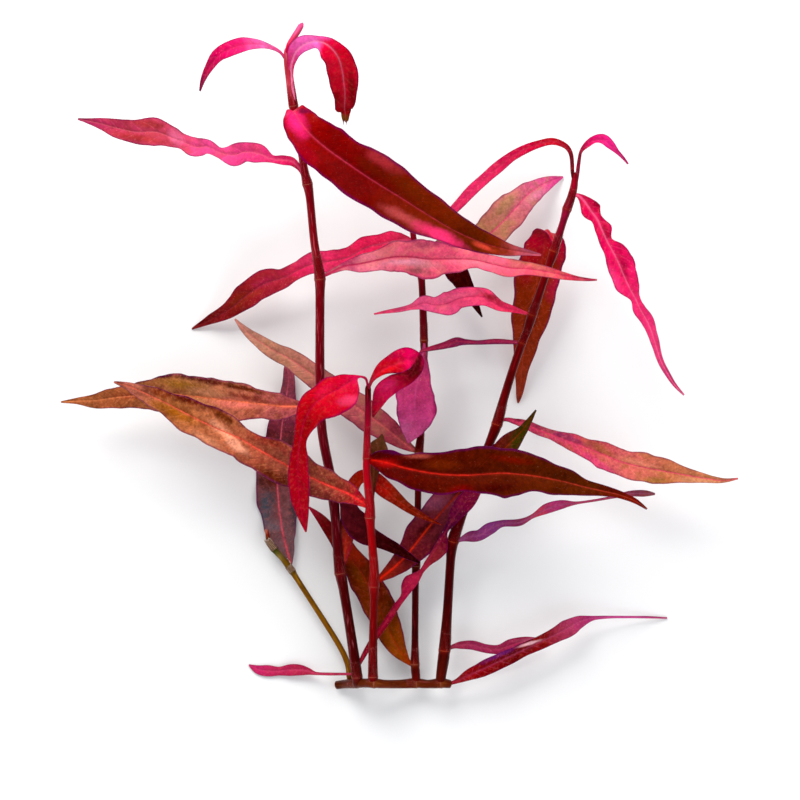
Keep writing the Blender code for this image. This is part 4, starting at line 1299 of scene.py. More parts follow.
CURLED_RED = LeafFinish(
    colours=((0.0, "2a0612"), (0.07, "6a0420"), (0.14, "b40424"), (0.28, "c00226"),
        (0.38, "e80c5a"), (0.46, "a80838"), (0.54, "5e0618"), (0.66, "b01030"), (0.8, "d01c50"),
        (0.92, "a00c28"), (1.0, "4a0810")),
    rib=("f03a60", "a01028"), vein="e83a60", mottle="a00420", under="8a0820", mottling=0.25,
    speckling=0.04, rib_share=0.2,
    patches=(Patch(396, 355, 12, 4, 28, "b00840"), Patch(386, 371, 12, 4, 25, "e01018"),
        Patch(396, 374, 14, 2, -2, "5e0418", 0.9), Patch(389, 385, 9, 6, 20, "dc2c68"),
        Patch(419, 360, 12, 3, 72, "4a0414", 0.9), Patch(412, 372, 11, 4, 60, "6a0418")))
TAN_RED = LeafFinish(
    colours=((0.0, "c8141a"), (0.08, "b01c2c"), (0.2, "a04438"), (0.34, "94483a"), (0.48, "a8523c"),
        (0.62, "c46e4a"), (0.75, "ac6436"), (0.9, "b46452"), (1.0, "9a5048")),
    rib=("f02a30", "e06a50"), vein="d88a60", mottle="4a200c", under="964038", fleck="d89058",
    gloss="ff6a48", mottling=0.6, speckling=0.2, flecking=0.12, contrast=2.3,
    patches=(Patch(188, 399, 46, 6, -20, "5c1c0c", 0.95),
        Patch(159, 394, 14, 4, -28, "7c3018", 0.8), Patch(176, 413, 30, 6, -24, "96540e"),
        # painted highlight: Patch(226, 434) and Patch(238, 447) are a pale highlight streak
        Patch(224, 417, 16, 5, -32, "6c3010", 0.9), Patch(226, 434, 22, 5, -42, "f4a07c", 0.95),
        Patch(238, 447, 14, 5, -35, "f4a080", 0.9), Patch(206, 440, 18, 5, -30, "dc8a64"),
        Patch(272, 477, 24, 9, -24, "5a240c", 0.9), Patch(268, 440, 20, 6, -20, "9a3428"),
        Patch(322, 494, 24, 7, -20, "6c2a28"), Patch(300, 458, 22, 4, -22, "7a2028")))
MAROON = LeafFinish(
    colours=((0.0, "a80c10"), (0.05, "541010"), (0.2, "501a0a"), (0.4, "542008"), (0.6, "58260a"),
        (0.8, "54280a"), (0.93, "761c0e"), (1.0, "4a0a10")),
    rib=("e0201a", "a04030"), vein="6a2010", mottle="2e0a02", under="7a1410", fleck="6a2408",
    gloss="80140a", mottling=0.5, speckling=0.07, flecking=0.15, rib_share=0.7, contrast=1.8,
    patches=(Patch(386, 463, 12, 5, 0, "b01818", 0.7), Patch(440, 465, 22, 6, 0, "702a10", 0.8),
        # painted glint: Patch(418, 456) is a pinkish glint of light
        Patch(418, 456, 14, 3, 0, "b04c40", 0.8), Patch(398, 452, 16, 3, 0, "380a40"),
        Patch(462, 490, 14, 6, 0, "7a100c"), Patch(548, 470, 40, 6, -14, "482206"),
        Patch(495, 488, 24, 6, 5, "3c1402"), Patch(512, 460, 22, 4, -8, "701c0c")))
SMALL_DARK = LeafFinish(
    colours=((0.0, "4a1010"), (0.5, "583018"), (1.0, "6a4a2c")),
    rib=("8a3a30", "7a4a30"), vein="804030", mottle="30280c", under="5a1018", mottling=0.5,
    rib_share=0.5)
PLUM = LeafFinish(
    colours=((0.0, "9a1a12"), (0.12, "70241a"), (0.28, "602028"), (0.42, "7e303c"),
        (0.52, "8e3c54"), (0.66, "641210"), (0.82, "5a2c20"), (0.9, "3c300c"), (1.0, "1c300a")),
    rib=("e0281c", "4a3418"), vein="8a3030", mottle="3a1c08", under="5a1820", gloss="a02820",
    mottling=0.5, speckling=0.05, contrast=1.6, flecking=0.08,
    patches=(Patch(434, 503, 15, 9, 15, "84445c", 0.75), Patch(424, 531, 16, 6, 35, "38120a"),
        Patch(459, 492, 10, 7, 0, "440a0a"), Patch(519, 437, 20, 8, 58, "34380e", 1.0)))
LONG_PINK = LeafFinish(
    colours=((0.0, "b84458"), (0.15, "f43060"), (0.3, "ff2c60"), (0.48, "f43c70"), (0.62, "b02c40"),
        (0.8, "8a2020"), (1.0, "4a0a08")),
    rib=("e04a70", "7a2420"), vein="f06a80", mottle="8a2428", under="a83040", mottling=0.4,
    veining=0.05,
    patches=(Patch(256, 293, 10, 4, 20, "a83428", 0.6), Patch(240, 300, 14, 7, 35, "8a2c1c"),
        Patch(300, 272, 16, 6, 10, "e02858"), Patch(262, 283, 14, 5, 20, "b02848")))
ROSE_TAN = LeafFinish(
    colours=((0.0, "98503c"), (0.35, "b07650"), (0.62, "cc6878"), (0.85, "d84c88"),
        (1.0, "c83080")),
    rib=("c84a5a", "d84a80"), vein="e08a80", mottle="907a40", under="b05060", gloss="ff7a60",
    mottling=0.5, contrast=1.6,
    patches=(Patch(506, 204, 20, 7, 48, "a88454", 0.7), Patch(535, 196, 14, 5, 35, "d8809c", 0.7),
        Patch(530, 218, 24, 4, 48, "c83858", 0.8)))
BLACK_RED = LeafFinish(
    colours=((0.0, "500406"), (0.5, "3c0406"), (1.0, "1c0608")),
    rib=("6a1014", "3a080a"), vein="5a1014", mottle="1a0203", under="3a0608", gloss="80141c",
    mottling=0.4, veining=0.05, speckling=0.02, flecking=0.05, rib_share=0.3)
MAUVE = LeafFinish(
    colours=((0.0, "7a2038"), (0.25, "a0325c"), (0.5, "c83c74"), (0.7, "d04888"), (0.9, "c8588c"),
        (1.0, "b03a68")),
    rib=("c04a78", "c85088"), vein="d06a90", mottle="883058", under="8a2a50", mottling=0.4,
    rib_share=0.5,
    patches=(Patch(404, 430, 12, 7, 60, "c05a8c", 0.7), Patch(436, 404, 16, 4, 85, "9a2450")))
TAN_WINE = LeafFinish(
    colours=((0.0, "9c3448"), (0.22, "b04458"), (0.5, "b06460"), (0.75, "bc8068"), (1.0, "a87468")),
    rib=("d85a60", "c87068"), vein="d09070", mottle="8a6848", under="904848", gloss="ff7a60",
    mottling=0.5, rib_share=0.7, contrast=1.6)
BROWN_RED = LeafFinish(
    colours=((0.0, "a03010"), (0.15, "7c3a04"), (0.5, "642804"), (0.72, "5a1404"), (0.88, "8a1620"),
        (1.0, "c0204a")),
    rib=("a03010", "a02828"), vein="a04a18", mottle="4a2402", under="702010", gloss="c05020",
    mottling=0.5, speckling=0.1, rib_share=0.4, contrast=1.5,
    patches=(Patch(350, 550, 24, 12, -50, "bc321c", 0.9), Patch(358, 574, 18, 6, -60, "6a340a"),
        Patch(378, 590, 16, 8, -70, "520c02"), Patch(392, 640, 26, 7, -70, "84420a")))
TOP_RED = LeafFinish(
    colours=((0.0, "500412"), (0.2, "520412"), (0.27, "8a061c"), (0.36, "b80622"), (0.5, "bc143c"),
        (0.75, "d83060"), (1.0, "b82450")),
    rib=("500414", "d84a70"), vein="f06a90", mottle="880a24", under="c02048", gloss="c82048",
    mottling=0.3, rib_share=0.3)
TOP_PINK = LeafFinish(
    colours=((0.0, "500412"), (0.26, "5c0618"), (0.34, "a80a38"), (0.42, "d8185c"),
        (0.65, "f82c88"), (1.0, "a02060")),
    rib=("50041c", "d84a80"), vein="ff7ab0", mottle="c01450", under="d03070", mottling=0.25,
    rib_share=0.3)
HOT_PINK = LeafFinish(
    colours=((0.0, "b0083a"), (0.15, "cc1048"), (0.4, "e81c5c"), (0.6, "ee2c6c"), (0.8, "e44078"),
        (1.0, "b03068")),
    rib=("f86a98", "ff7aa4"), vein="ff6a9a", mottle="b00c44", under="c82a60", mottling=0.3,
    rib_share=0.5,
    patches=(Patch(598, 206, 10, 5, -75, "98082c"), Patch(606, 232, 10, 5, -70, "a00c30"),
        Patch(622, 262, 18, 5, -80, "b01440"), Patch(612, 278, 16, 6, -60, "f8407c")))
BACK_RED = LeafFinish(
    colours=((0.0, "98082c"), (0.1, "b80c30"), (0.26, "b41034"), (0.4, "a41c24"), (0.5, "842814"),
        (0.6, "7c2a14"), (0.85, "8c3420"), (1.0, "943c30")),
    rib=("b02030", "b84a30"), vein="c04a30", mottle="7c2c14", under="a01828", gloss="8a1020",
    mottling=0.45, rib_share=0.3,
    patches=(Patch(560, 246, 16, 7, -80, "c01038"), Patch(540, 242, 18, 12, 20, "b80c30"),
        Patch(530, 264, 20, 12, 70, "a01824", 0.9), Patch(557, 284, 20, 9, 70, "a82038", 0.9),
        Patch(531, 319, 17, 7, 75, "480a12", 0.85)))
UPPER_PINK = LeafFinish(
    colours=((0.0, "dc2040"), (0.25, "fc3c6c"), (0.45, "ff4c84"), (0.7, "ff6094"), (1.0, "d03058")),
    rib=("c02a50", "d84068"), vein="ff8a9a", mottle="f85868", under="c83058", fleck="e86860",
    mottling=0.25, rib_share=0.5,
    patches=(Patch(443, 307, 8, 4, 0, "ff7088"), Patch(489, 297, 15, 4, -30, "b02830", 0.9),
        Patch(460, 296, 24, 4, 10, "ff6a90", 0.7)))
THIN_RED = LeafFinish(
    colours=((0.0, "7c0c38"), (0.5, "601044"), (1.0, "a01c40")),
    rib=("b03058", "b03058"), vein="b03050", mottle="5a1030", under="8a1838", mottling=0.3,
    rib_share=0.3)
LONG_TAN = LeafFinish(
    colours=((0.0, "983068"), (0.15, "a83450"), (0.3, "b63c62"), (0.45, "cc4458"), (0.6, "d86464"),
        (0.75, "c4704e"), (0.9, "bc7c54"), (1.0, "b46858")),
    rib=("d03a60", "e05068"), vein="f09a80", mottle="8a5830", under="b85058", gloss="ff6a58",
    mottling=0.6, flecking=0.25, contrast=1.8,
    patches=(Patch(655, 481, 20, 4, -2, "a07034"), Patch(640, 464, 26, 4, -16, "ec8c70", 0.8),
        Patch(668, 472, 26, 3, -10, "b06a48"), Patch(598, 464, 26, 5, -35, "e04478"),
        Patch(566, 438, 24, 4, -20, "9c3a64"), Patch(602, 450, 15, 5, -35, "a8603c"),
        Patch(700, 481, 24, 4, -4, "cc8c64")))
LILAC = LeafFinish(
    colours=((0.0, "9a5084"), (0.12, "8a3460"), (0.28, "8a3c80"), (0.42, "8a3050"), (0.5, "cc4054"),
        (0.58, "c03c78"), (0.68, "b83450"), (0.85, "90384c"), (1.0, "845044")),
    rib=("b05a98", "b06078"), vein="c87aa0", mottle="6a2c50", under="8a3a60", mottling=0.45,
    rib_share=0.3)
FOOT_WINE = LeafFinish(
    colours=((0.0, "8a2c38"), (0.35, "8a2c4c"), (0.7, "a83058"), (1.0, "9c2444")),
    rib=("b84a68", "b04460"), vein="d06a80", mottle="601828", under="982848", mottling=0.4,
    rib_share=0.3,
    # painted glint: Patch(530, 640) is a pale pink glint of light
    patches=(Patch(530, 640, 16, 3, 5, "cc6486", 0.8),))
CRIMSON_TAIL = LeafFinish(
    colours=((0.0, "8a2424"), (0.18, "8c1010"), (0.34, "620f08"), (0.48, "7a1c18"), (0.6, "a83c5c"),
        (0.7, "a8346a"), (0.85, "c4488e"), (1.0, "a83068")),
    rib=("a83050", "d06a98"), vein="d05a80", mottle="5a0c10", under="980f20", mottling=0.35,
    rib_share=0.25,
    # painted glint: Patch(529, 643.5) is a pale glint of light along the blade
    patches=(Patch(529, 643.5, 13, 1.6, 17, "f0b8c0", 0.95),
        Patch(498, 655, 24, 3, 25, "5c2a78", 0.6)))
BROWN_MAUVE = LeafFinish(
    colours=((0.0, "6a4a44"), (0.2, "705458"), (0.38, "7e5256"), (0.52, "7a4446"), (0.6, "54240e"),
        (0.72, "82344a"), (0.85, "98485a"), (1.0, "c05670")),
    rib=("d05058", "c85a70"), vein="805a5a", mottle="40302c", under="6a4038", gloss="a07880",
    mottling=0.5, rib_share=1.0, contrast=1.8,
    patches=(Patch(265, 508, 26, 9, 80, "40505a", 0.85), Patch(297, 508, 22, 6, 85, "343c44", 0.8),
        Patch(274, 526, 12, 8, 0, "6c6068", 0.7), Patch(272, 479, 16, 11, 60, "582408", 0.9)))
TALL_FINISH = StemFinish(
    colours=((0.0, "d84878"), (0.03, "b84050"), (0.06, "a82c38"), (0.09, "c04050"),
        (0.12, "8a0c20"), (0.45, "780b1b"), (0.65, "680c20"), (0.8, "4e0c08"), (0.93, "480a04"),
        (1.0, "58280c")),
    node="8a2024", streak="e0707c", blotch="4a0410")
FRONT_FINISH = StemFinish(
    colours=((0.0, "30060f"), (0.03, "4a0a16"), (0.06, "80182c"), (0.12, "a8162c"),
        (0.22, "b80c24"), (0.6, "9c0410"), (0.8, "780608"), (0.92, "500402"), (1.0, "5a0804")),
    node="a01c1c", streak="d03038", blotch="6a0208")
MIDDLE_FINISH = StemFinish(
    colours=((0.0, "8a1028"), (0.2, "700a20"), (0.5, "56080c"), (0.8, "3c100c"), (1.0, "6a1c10")),
    node="8a3414", streak="8a2a30", blotch="2a0608")
RIGHT_FINISH = StemFinish(
    colours=((0.0, "6a0818"), (0.04, "980c28"), (0.08, "6a0a1c"), (0.15, "8a1c38"),
        (0.26, "700a18"), (0.4, "54030a"), (0.54, "60100a"), (0.7, "5a0c04"), (0.85, "3d0602"),
        (1.0, "5a2008")),
    node="8a2014", streak="a02028", blotch="2c0206", ring="f07040")
BROKEN_FINISH = StemFinish(
    colours=((0.0, "a81a20"), (0.07, "5a2c18"), (0.12, "2a3010"), (0.24, "34481a"), (0.3, "7a6a34"),
        (0.36, "6c5010"), (0.7, "845408"), (1.0, "5a2808")),
    node="3c4420", streak="c89a30", blotch="3a2c08", ring="8a7c44", shade="241404")
ROOT_FINISH = StemFinish(
    colours=((0.0, "5a2a14"), (0.5, "6a3018"), (1.0, "5a2410")),
    node="8a4a24", streak="8a5a30", blotch="3a1a0c")
BUD_FINISH = StemFinish(
    colours=((0.0, "6a5c50"), (0.05, "c84c74"), (0.12, "ff5a96"), (0.4, "fa5080"), (0.7, "dc204a"),
        (1.0, "c01838")),
    node="dc204a", streak="ff8aa8", blotch="c81848")

# The plant. A stem's points run from its tip to its foot, and a leaf's stations from its base to
# its tip
TALL_SHOOT = Shoot(
    Stem("tall_stem", Slot.CRIMSON_STEM, TALL_FINISH, (
        (286.5, 47, 43.9, 2.4), (287.5, 61, 43.1, 3.8), (290.5, 85, 41.8, 4.2),
        (293.5, 106, 40.6, 4.8), (296, 118, 39.9, 3.9), (304, 168, 37.2, 3.9),
        (307.5, 184, 36.3, 5.2), (310, 199, 35.5, 4.1), (314, 240, 33.2, 4.1),
        (318, 264, 31.9, 4.6), (320, 279, 31, 5.6), (320, 300, 29.8, 4.6), (320, 380, 25.4, 4.7),
        (322, 430, 22.6, 4.8), (330.5, 476, 20.1, 4.9), (333, 494, 19.1, 5.6),
        (335.5, 520, 17.7, 4.8), (338.5, 556, 15.6, 5.2), (340.5, 573, 14.7, 6),
        (344, 592, 13.6, 4.9), (351, 635, 11.3, 5), (357, 676.5, 9, 5.6), (357, 683, 7.8, 5.2)),
        sheath=7.0), (
    Leaf("tall_top_leaf_left", Slot.BRIGHT_PINK, PINK, (
        (287, 62, 43, 1.4, 1.4), (280, 52, 44.5, 1.5, 1.5), (268, 46, 45.5, 3, 2.5),
        (256, 44, 46, 5, 5), (243, 45, 45.5, 7, 7.5), (230, 49, 44, 7.5, 8), (218, 56, 42, 6, 7),
        (209, 68, 39, 4, 4.5), (203, 80, 36, 2.5, 2.5), (200, 91, 33, 0.8, 0.8)),
        roll=(0.0, 20.0), ruffle=0.3),
    Leaf("tall_top_leaf_right", Slot.RED, TORN_RED, (
        (295, 108, 41.2, 1.2, 1.2), (293.5, 96, 42.3, 1.6, 1.6), (291.5, 80, 43.2, 2, 2),
        (291, 68, 44, 3.2, 3), (293, 59, 45.4, 5.5, 4.2), (296.5, 51.5, 46.6, 9, 5.5),
        (304.5, 44.5, 47.8, 9.5, 7), (317.5, 41.5, 49, 5.5, 7), (329, 46, 49, 8.5, 13.5),
        (338, 57, 47, 13, 15), (342, 70, 44, 15, 15), (344, 84, 41, 14, 13.5),
        (345, 96, 38.6, 12, 11.5), (344.5, 105, 36.6, 9.5, 9.5), (344.5, 109, 35.8, 7, 9),
        (345, 111.5, 35.3, 6, 4.6), (345.5, 117, 34.6, 3.8, 4), (346, 122, 34, 2.4, 2.6)),
        fold=5.0, ruffle=0.5, torn=True),
    Leaf("tall_front_leaf", Slot.RED, BIG_RED, (
        (295.5, 114, 40.2, 1.5, 1.5), (293, 111, 44, 3.5, 4), (295, 113, 47.5, 11, 11),
        (301, 123, 50, 16, 18), (311, 135, 52.5, 20, 21), (326, 148, 55, 23, 24),
        (344, 161, 58, 24, 25), (372, 180, 62, 27, 26), (398, 196, 65.5, 25, 26),
        (428, 215, 69, 20, 22), (455, 231, 72, 16, 15), (483, 243, 74.5, 12, 10),
        (505, 249, 76, 7, 7), (523, 252, 77, 3.5, 3.5), (541, 255, 77.5, 0.8, 0.8)),
        fold=12.0, face=(0.0, 1.0, 1.2), ruffle=0.8, waves=19.0),
    Leaf("tall_left_leaf", Slot.PINK, LOBED_PINK, (
        (305, 184, 36.3, 1.5, 1.5), (301, 171, 37.5, 2, 2), (293, 162, 38, 4.5, 4),
        (283, 160, 38, 5, 4.5), (272, 159, 38, 4, 4), (260, 154, 38.5, 9, 9),
        (246, 152, 39, 10, 10), (233, 155, 39, 11, 10.5), (220, 153, 38.5, 5.5, 5.5),
        (208, 147, 38.5, 7, 7), (195, 147, 38.5, 10, 9.5), (182, 141.5, 38, 7.5, 8),
        (170, 137, 38, 10.5, 11), (155, 132, 37.5, 14, 14), (136, 132, 37, 12, 12),
        (118, 128.5, 36, 9.5, 9.5), (100, 123.5, 35, 5.5, 5.5), (88, 121, 34.2, 2.7, 2.7),
        (78, 119, 33.5, 0.8, 0.8)),
        fold=10.0, ruffle=1.0, waves=12.0),
    Leaf("tall_long_leaf", Slot.PINK, SALMON, (
        (320, 278, 31, 1.4, 1.4), (332, 272, 32, 2.5, 2), (345, 266, 33, 4, 4.5),
        (359, 264, 33.5, 8.5, 8.5), (378, 260, 34, 10, 11), (394, 257, 34.5, 15, 15),
        (411, 257, 35, 17, 17), (427, 259, 35.5, 19, 21), (443, 259, 36, 16, 16),
        (460, 259, 36.5, 11.5, 13), (476, 260, 37, 8, 8), (492, 264, 37.5, 8.5, 8.5),
        (510, 268, 38.5, 9, 9), (528, 269, 39.5, 7, 6), (548, 272, 41, 5, 5.5),
        (565, 276, 42.5, 3.5, 4), (581, 279, 44, 2, 2), (597, 280, 45, 0.8, 0.8)),
        fold=10.0, ruffle=1.1, waves=10.0),
    Leaf("tall_low_leaf", Slot.TAN, TAN_ROSE, (
        (321, 410, 23.8, 1.4, 1.4), (310, 408, 23.6, 4, 4), (297, 406.5, 23.2, 8, 6.5),
        (282, 406, 22.7, 14, 12), (262, 404, 22, 15, 14), (244, 402, 21.3, 19, 18),
        (225, 400, 20.7, 21, 20), (207, 398, 20.2, 20, 20), (190, 396, 19.7, 19, 21),
        (170, 394, 19.2, 18, 20), (150, 394.5, 18.7, 16, 15.5), (132, 396, 18.2, 12, 11.5),
        (112, 398, 17.8, 10.5, 10), (95, 400.5, 17.4, 8, 6.5), (78, 401, 17.2, 3.5, 3.5),
        (61, 402, 17, 0.8, 0.8)),
        fold=6.0, ruffle=0.9, waves=13.0),
    Leaf("tall_dark_leaf", Slot.DARK, NEAR_BLACK, (
        (333.5, 493, 19.1, 1.3, 1.3), (341, 502, 18.9, 6, 2), (348, 512, 18.6, 11, 9),
        (356, 523, 18.3, 13, 13), (366, 533, 18.2, 10, 12), (380, 541.5, 18.1, 8, 7),
        (395, 549, 18, 6.5, 5), (408, 556, 17.9, 4, 3.5), (420, 563, 17.8, 0.8, 0.8)),
        fold=3.0, ruffle=0.4),
    Leaf("tall_arched_leaf", Slot.RED, RUSSET, (
        (340.5, 573, 14.7, 1.3, 1.3), (344, 558, 15.2, 3, 3.5), (346, 541, 15.6, 6, 7),
        (348, 522, 16, 8, 9), (350, 504, 16.7, 9, 8), (354, 489, 17.6, 9, 5),
        (362, 479, 18.6, 9, 4), (373, 480, 19.2, 9, 8), (384, 488, 19.3, 8.5, 9),
        (396, 499, 19.2, 7, 6), (408, 508, 19, 5, 4.5), (420, 515, 18.7, 4, 3.5),
        (431, 520.5, 18.5, 2.5, 2), (442, 525, 18.4, 0.8, 0.8)),
        fold=3.0, ruffle=0.5),
    Leaf("tall_ribbon_leaf", Slot.PINK, RIBBON, (
        (357.5, 668, 9.5, 1.3, 1.3), (364, 655, 10, 2.5, 2.5), (371, 643, 10.3, 3, 3),
        (379, 632, 10.4, 3, 3.5), (388, 619, 10.5, 3, 3.5), (397, 606, 10.9, 3.5, 3),
        (404, 597, 11.4, 4, 2.5), (409, 590, 11.8, 9.5, 3), (414, 583, 12.2, 11, 3.5),
        (418, 577, 12.6, 7, 3), (422, 570.5, 13.2, 2.4, 2.6), (427, 562, 14.4, 2.2, 5),
        (433, 553, 15.6, 2.4, 9.5), (438, 545, 16.4, 2.6, 11), (442.5, 537, 17, 2.4, 6),
        (446, 531, 17.6, 2.4, 2.2), (451, 522, 18.6, 4, 5), (458, 512, 20, 8, 7),
        (468, 499, 21.6, 9, 9), (478, 488, 23.2, 4, 5), (484, 481, 24, 0.8, 0.8)),
        fold=3.0, ruffle=0.6, waves=10.0),
    Leaf("tall_foot_leaf", Slot.PINK, FOOT_PINK, (
        (357, 674, 9.1, 1.2, 1.2), (345, 674, 7.6, 1.3, 1.3), (330, 674, 5.4, 1.5, 1.5),
        (316, 673.5, 3.4, 1.6, 1.8), (308, 671, 2.6, 4, 3.5), (300, 670, 2, 5.5, 5.5),
        (290, 670, 1.4, 6, 6), (280, 671, 1, 4.5, 4.5), (268, 671, 0.6, 5.5, 6),
        (258, 669, 0.3, 5, 4), (249, 665, 0.3, 0.8, 0.8)),
        fold=4.0, ruffle=0.4),
))

FRONT_SHOOT = Shoot(
    Stem("front_stem", Slot.CRIMSON_STEM, FRONT_FINISH, (
        (368, 384, 32.9, 3), (368, 411, 30.9, 3.2), (367, 440, 28.8, 3.5), (367, 458, 27.6, 4.2),
        (367, 474, 26.4, 3.9), (370, 504, 24.3, 4.6), (370, 517, 23.4, 5.3), (371, 530, 22.4, 4.1),
        (374, 566, 19.9, 4.6), (374, 586, 18.5, 5.4), (374, 600, 17.5, 4), (373, 640, 14.6, 4.2),
        (373, 676.5, 12, 5), (374, 683, 11.5, 4.8)),
        sheath=12.0), (
    Leaf("front_top_leaf_left", Slot.RED, SCARLET, (
        (368, 388, 32.6, 1.2, 1.2), (365.5, 378.5, 34, 1.3, 1.3), (357, 377, 35.2, 2.5, 2),
        (349, 382, 36, 17, 9), (336, 390, 36.8, 24, 15), (323, 397, 37, 23, 14),
        (312, 407, 36.6, 19, 14), (304, 422, 35.6, 13, 9), (300, 440, 34.5, 7, 6),
        (298, 458, 33.5, 10, 8), (298, 477, 32.5, 11, 10), (299, 495, 31.5, 10.5, 9),
        (302, 513, 31, 7, 6), (306, 532, 30.5, 0.8, 0.8)),
        fold=5.0, ruffle=0.4),
    Leaf("front_top_leaf_right", Slot.RED, CURLED_RED, (
        (368, 392, 32.3, 1.2, 1.2), (372, 380, 35, 2.2, 2.2), (383, 370, 36.5, 8, 5),
        (396, 364, 37.2, 12, 9.5), (407, 360.5, 36.8, 13, 9), (415, 362, 35, 9.5, 3.5),
        (413.5, 370, 32.6, 8, 3.5), (405, 378, 31, 8, 7), (395, 385, 30.2, 7, 11),
        (385, 394, 29.7, 6, 12), (378, 405, 29.4, 4.5, 6.5), (373, 417, 30.4, 0.8, 0.8)),
        fold=3.0, ruffle=0.4),
    Leaf("front_left_leaf", Slot.TAN, TAN_RED, (
        (370, 508, 24, 1.4, 1.4), (359, 500, 24.3, 6, 6), (350, 494.5, 24.6, 10, 10),
        (340, 490, 24.9, 13, 12), (325, 484, 25.4, 16, 15), (308, 476, 26, 18, 16),
        (290, 467, 26.8, 20, 20), (272, 457, 27.6, 21, 19), (256, 448, 28.5, 20, 14),
        (241, 439, 29.5, 20, 12), (225, 432, 30.8, 19, 19), (205, 423, 32.3, 18, 18),
        (186, 413.5, 33.8, 17, 16.5), (168, 404, 35.2, 12, 12), (152, 396.5, 36.6, 9.5, 10),
        (138, 390, 38, 7, 6), (126, 385.5, 39.2, 3.5, 3.5), (114, 382, 40.2, 0.8, 0.8)),
        fold=8.0, ruffle=0.9, waves=14.0),
    Leaf("front_dark_leaf", Slot.DARK, MAROON, (
        (367, 460, 27.4, 1.4, 1.4), (377, 460.5, 29.2, 9, 8), (389, 463, 30.8, 13, 14),
        (402, 467, 32.3, 13.5, 15), (420, 471, 33.8, 18, 20), (440, 474, 35.3, 22, 21),
        (464, 475, 37.2, 27, 16), (484, 474, 39, 27, 20), (502, 473, 40.5, 26, 24),
        (518, 474, 42, 24, 22), (535, 476, 43.6, 20, 16), (552, 479, 45.2, 16, 15),
        (568, 482.5, 46.6, 13, 13), (585, 487, 48.2, 7.5, 9), (603, 491, 49.6, 6, 5),
        (620, 495, 51, 4, 3.5), (635, 501, 52.2, 2.7, 2.5), (647, 509, 53, 0.8, 0.8)),
        fold=12.0, ruffle=0.8, waves=18.0),
    Leaf("front_small_leaf", Slot.TAN, SMALL_DARK, (
        (370, 517, 23.4, 1.2, 1.2), (371, 510, 21.3, 1.6, 1.6), (371.5, 500, 20.9, 2.4, 2.4),
        (372.5, 485, 21, 4, 3.5), (374.5, 468, 21.2, 6.5, 6), (376, 456, 21.4, 10, 11),
        (378.5, 446, 21.5, 8.5, 10), (381, 439, 21.5, 3.5, 4), (382, 434, 21.5, 0.8, 0.8)),
        fold=2.0, face=(0.0, 1.0, 1.0), ruffle=0.3),
    Leaf("front_low_leaf", Slot.DARK, PLUM, (
        (374, 586, 18.5, 1.4, 1.4), (381, 578, 17.8, 3.5, 4), (391, 570, 16.4, 7, 8),
        (405, 557, 14.4, 11, 13), (421, 537, 13.9, 17, 17), (438, 516, 15, 18, 12),
        (454, 498, 18.4, 18, 9), (470, 480, 20.9, 16, 11), (486, 465, 22.2, 13, 14),
        (499, 454, 22.9, 11, 12), (510.5, 442.5, 23.4, 10, 10), (522, 430.5, 23.9, 5, 5.5),
        (529, 421, 24.2, 3, 3), (536, 410, 24.4, 0.8, 0.8)),
        fold=2.0, ruffle=0.8),
))

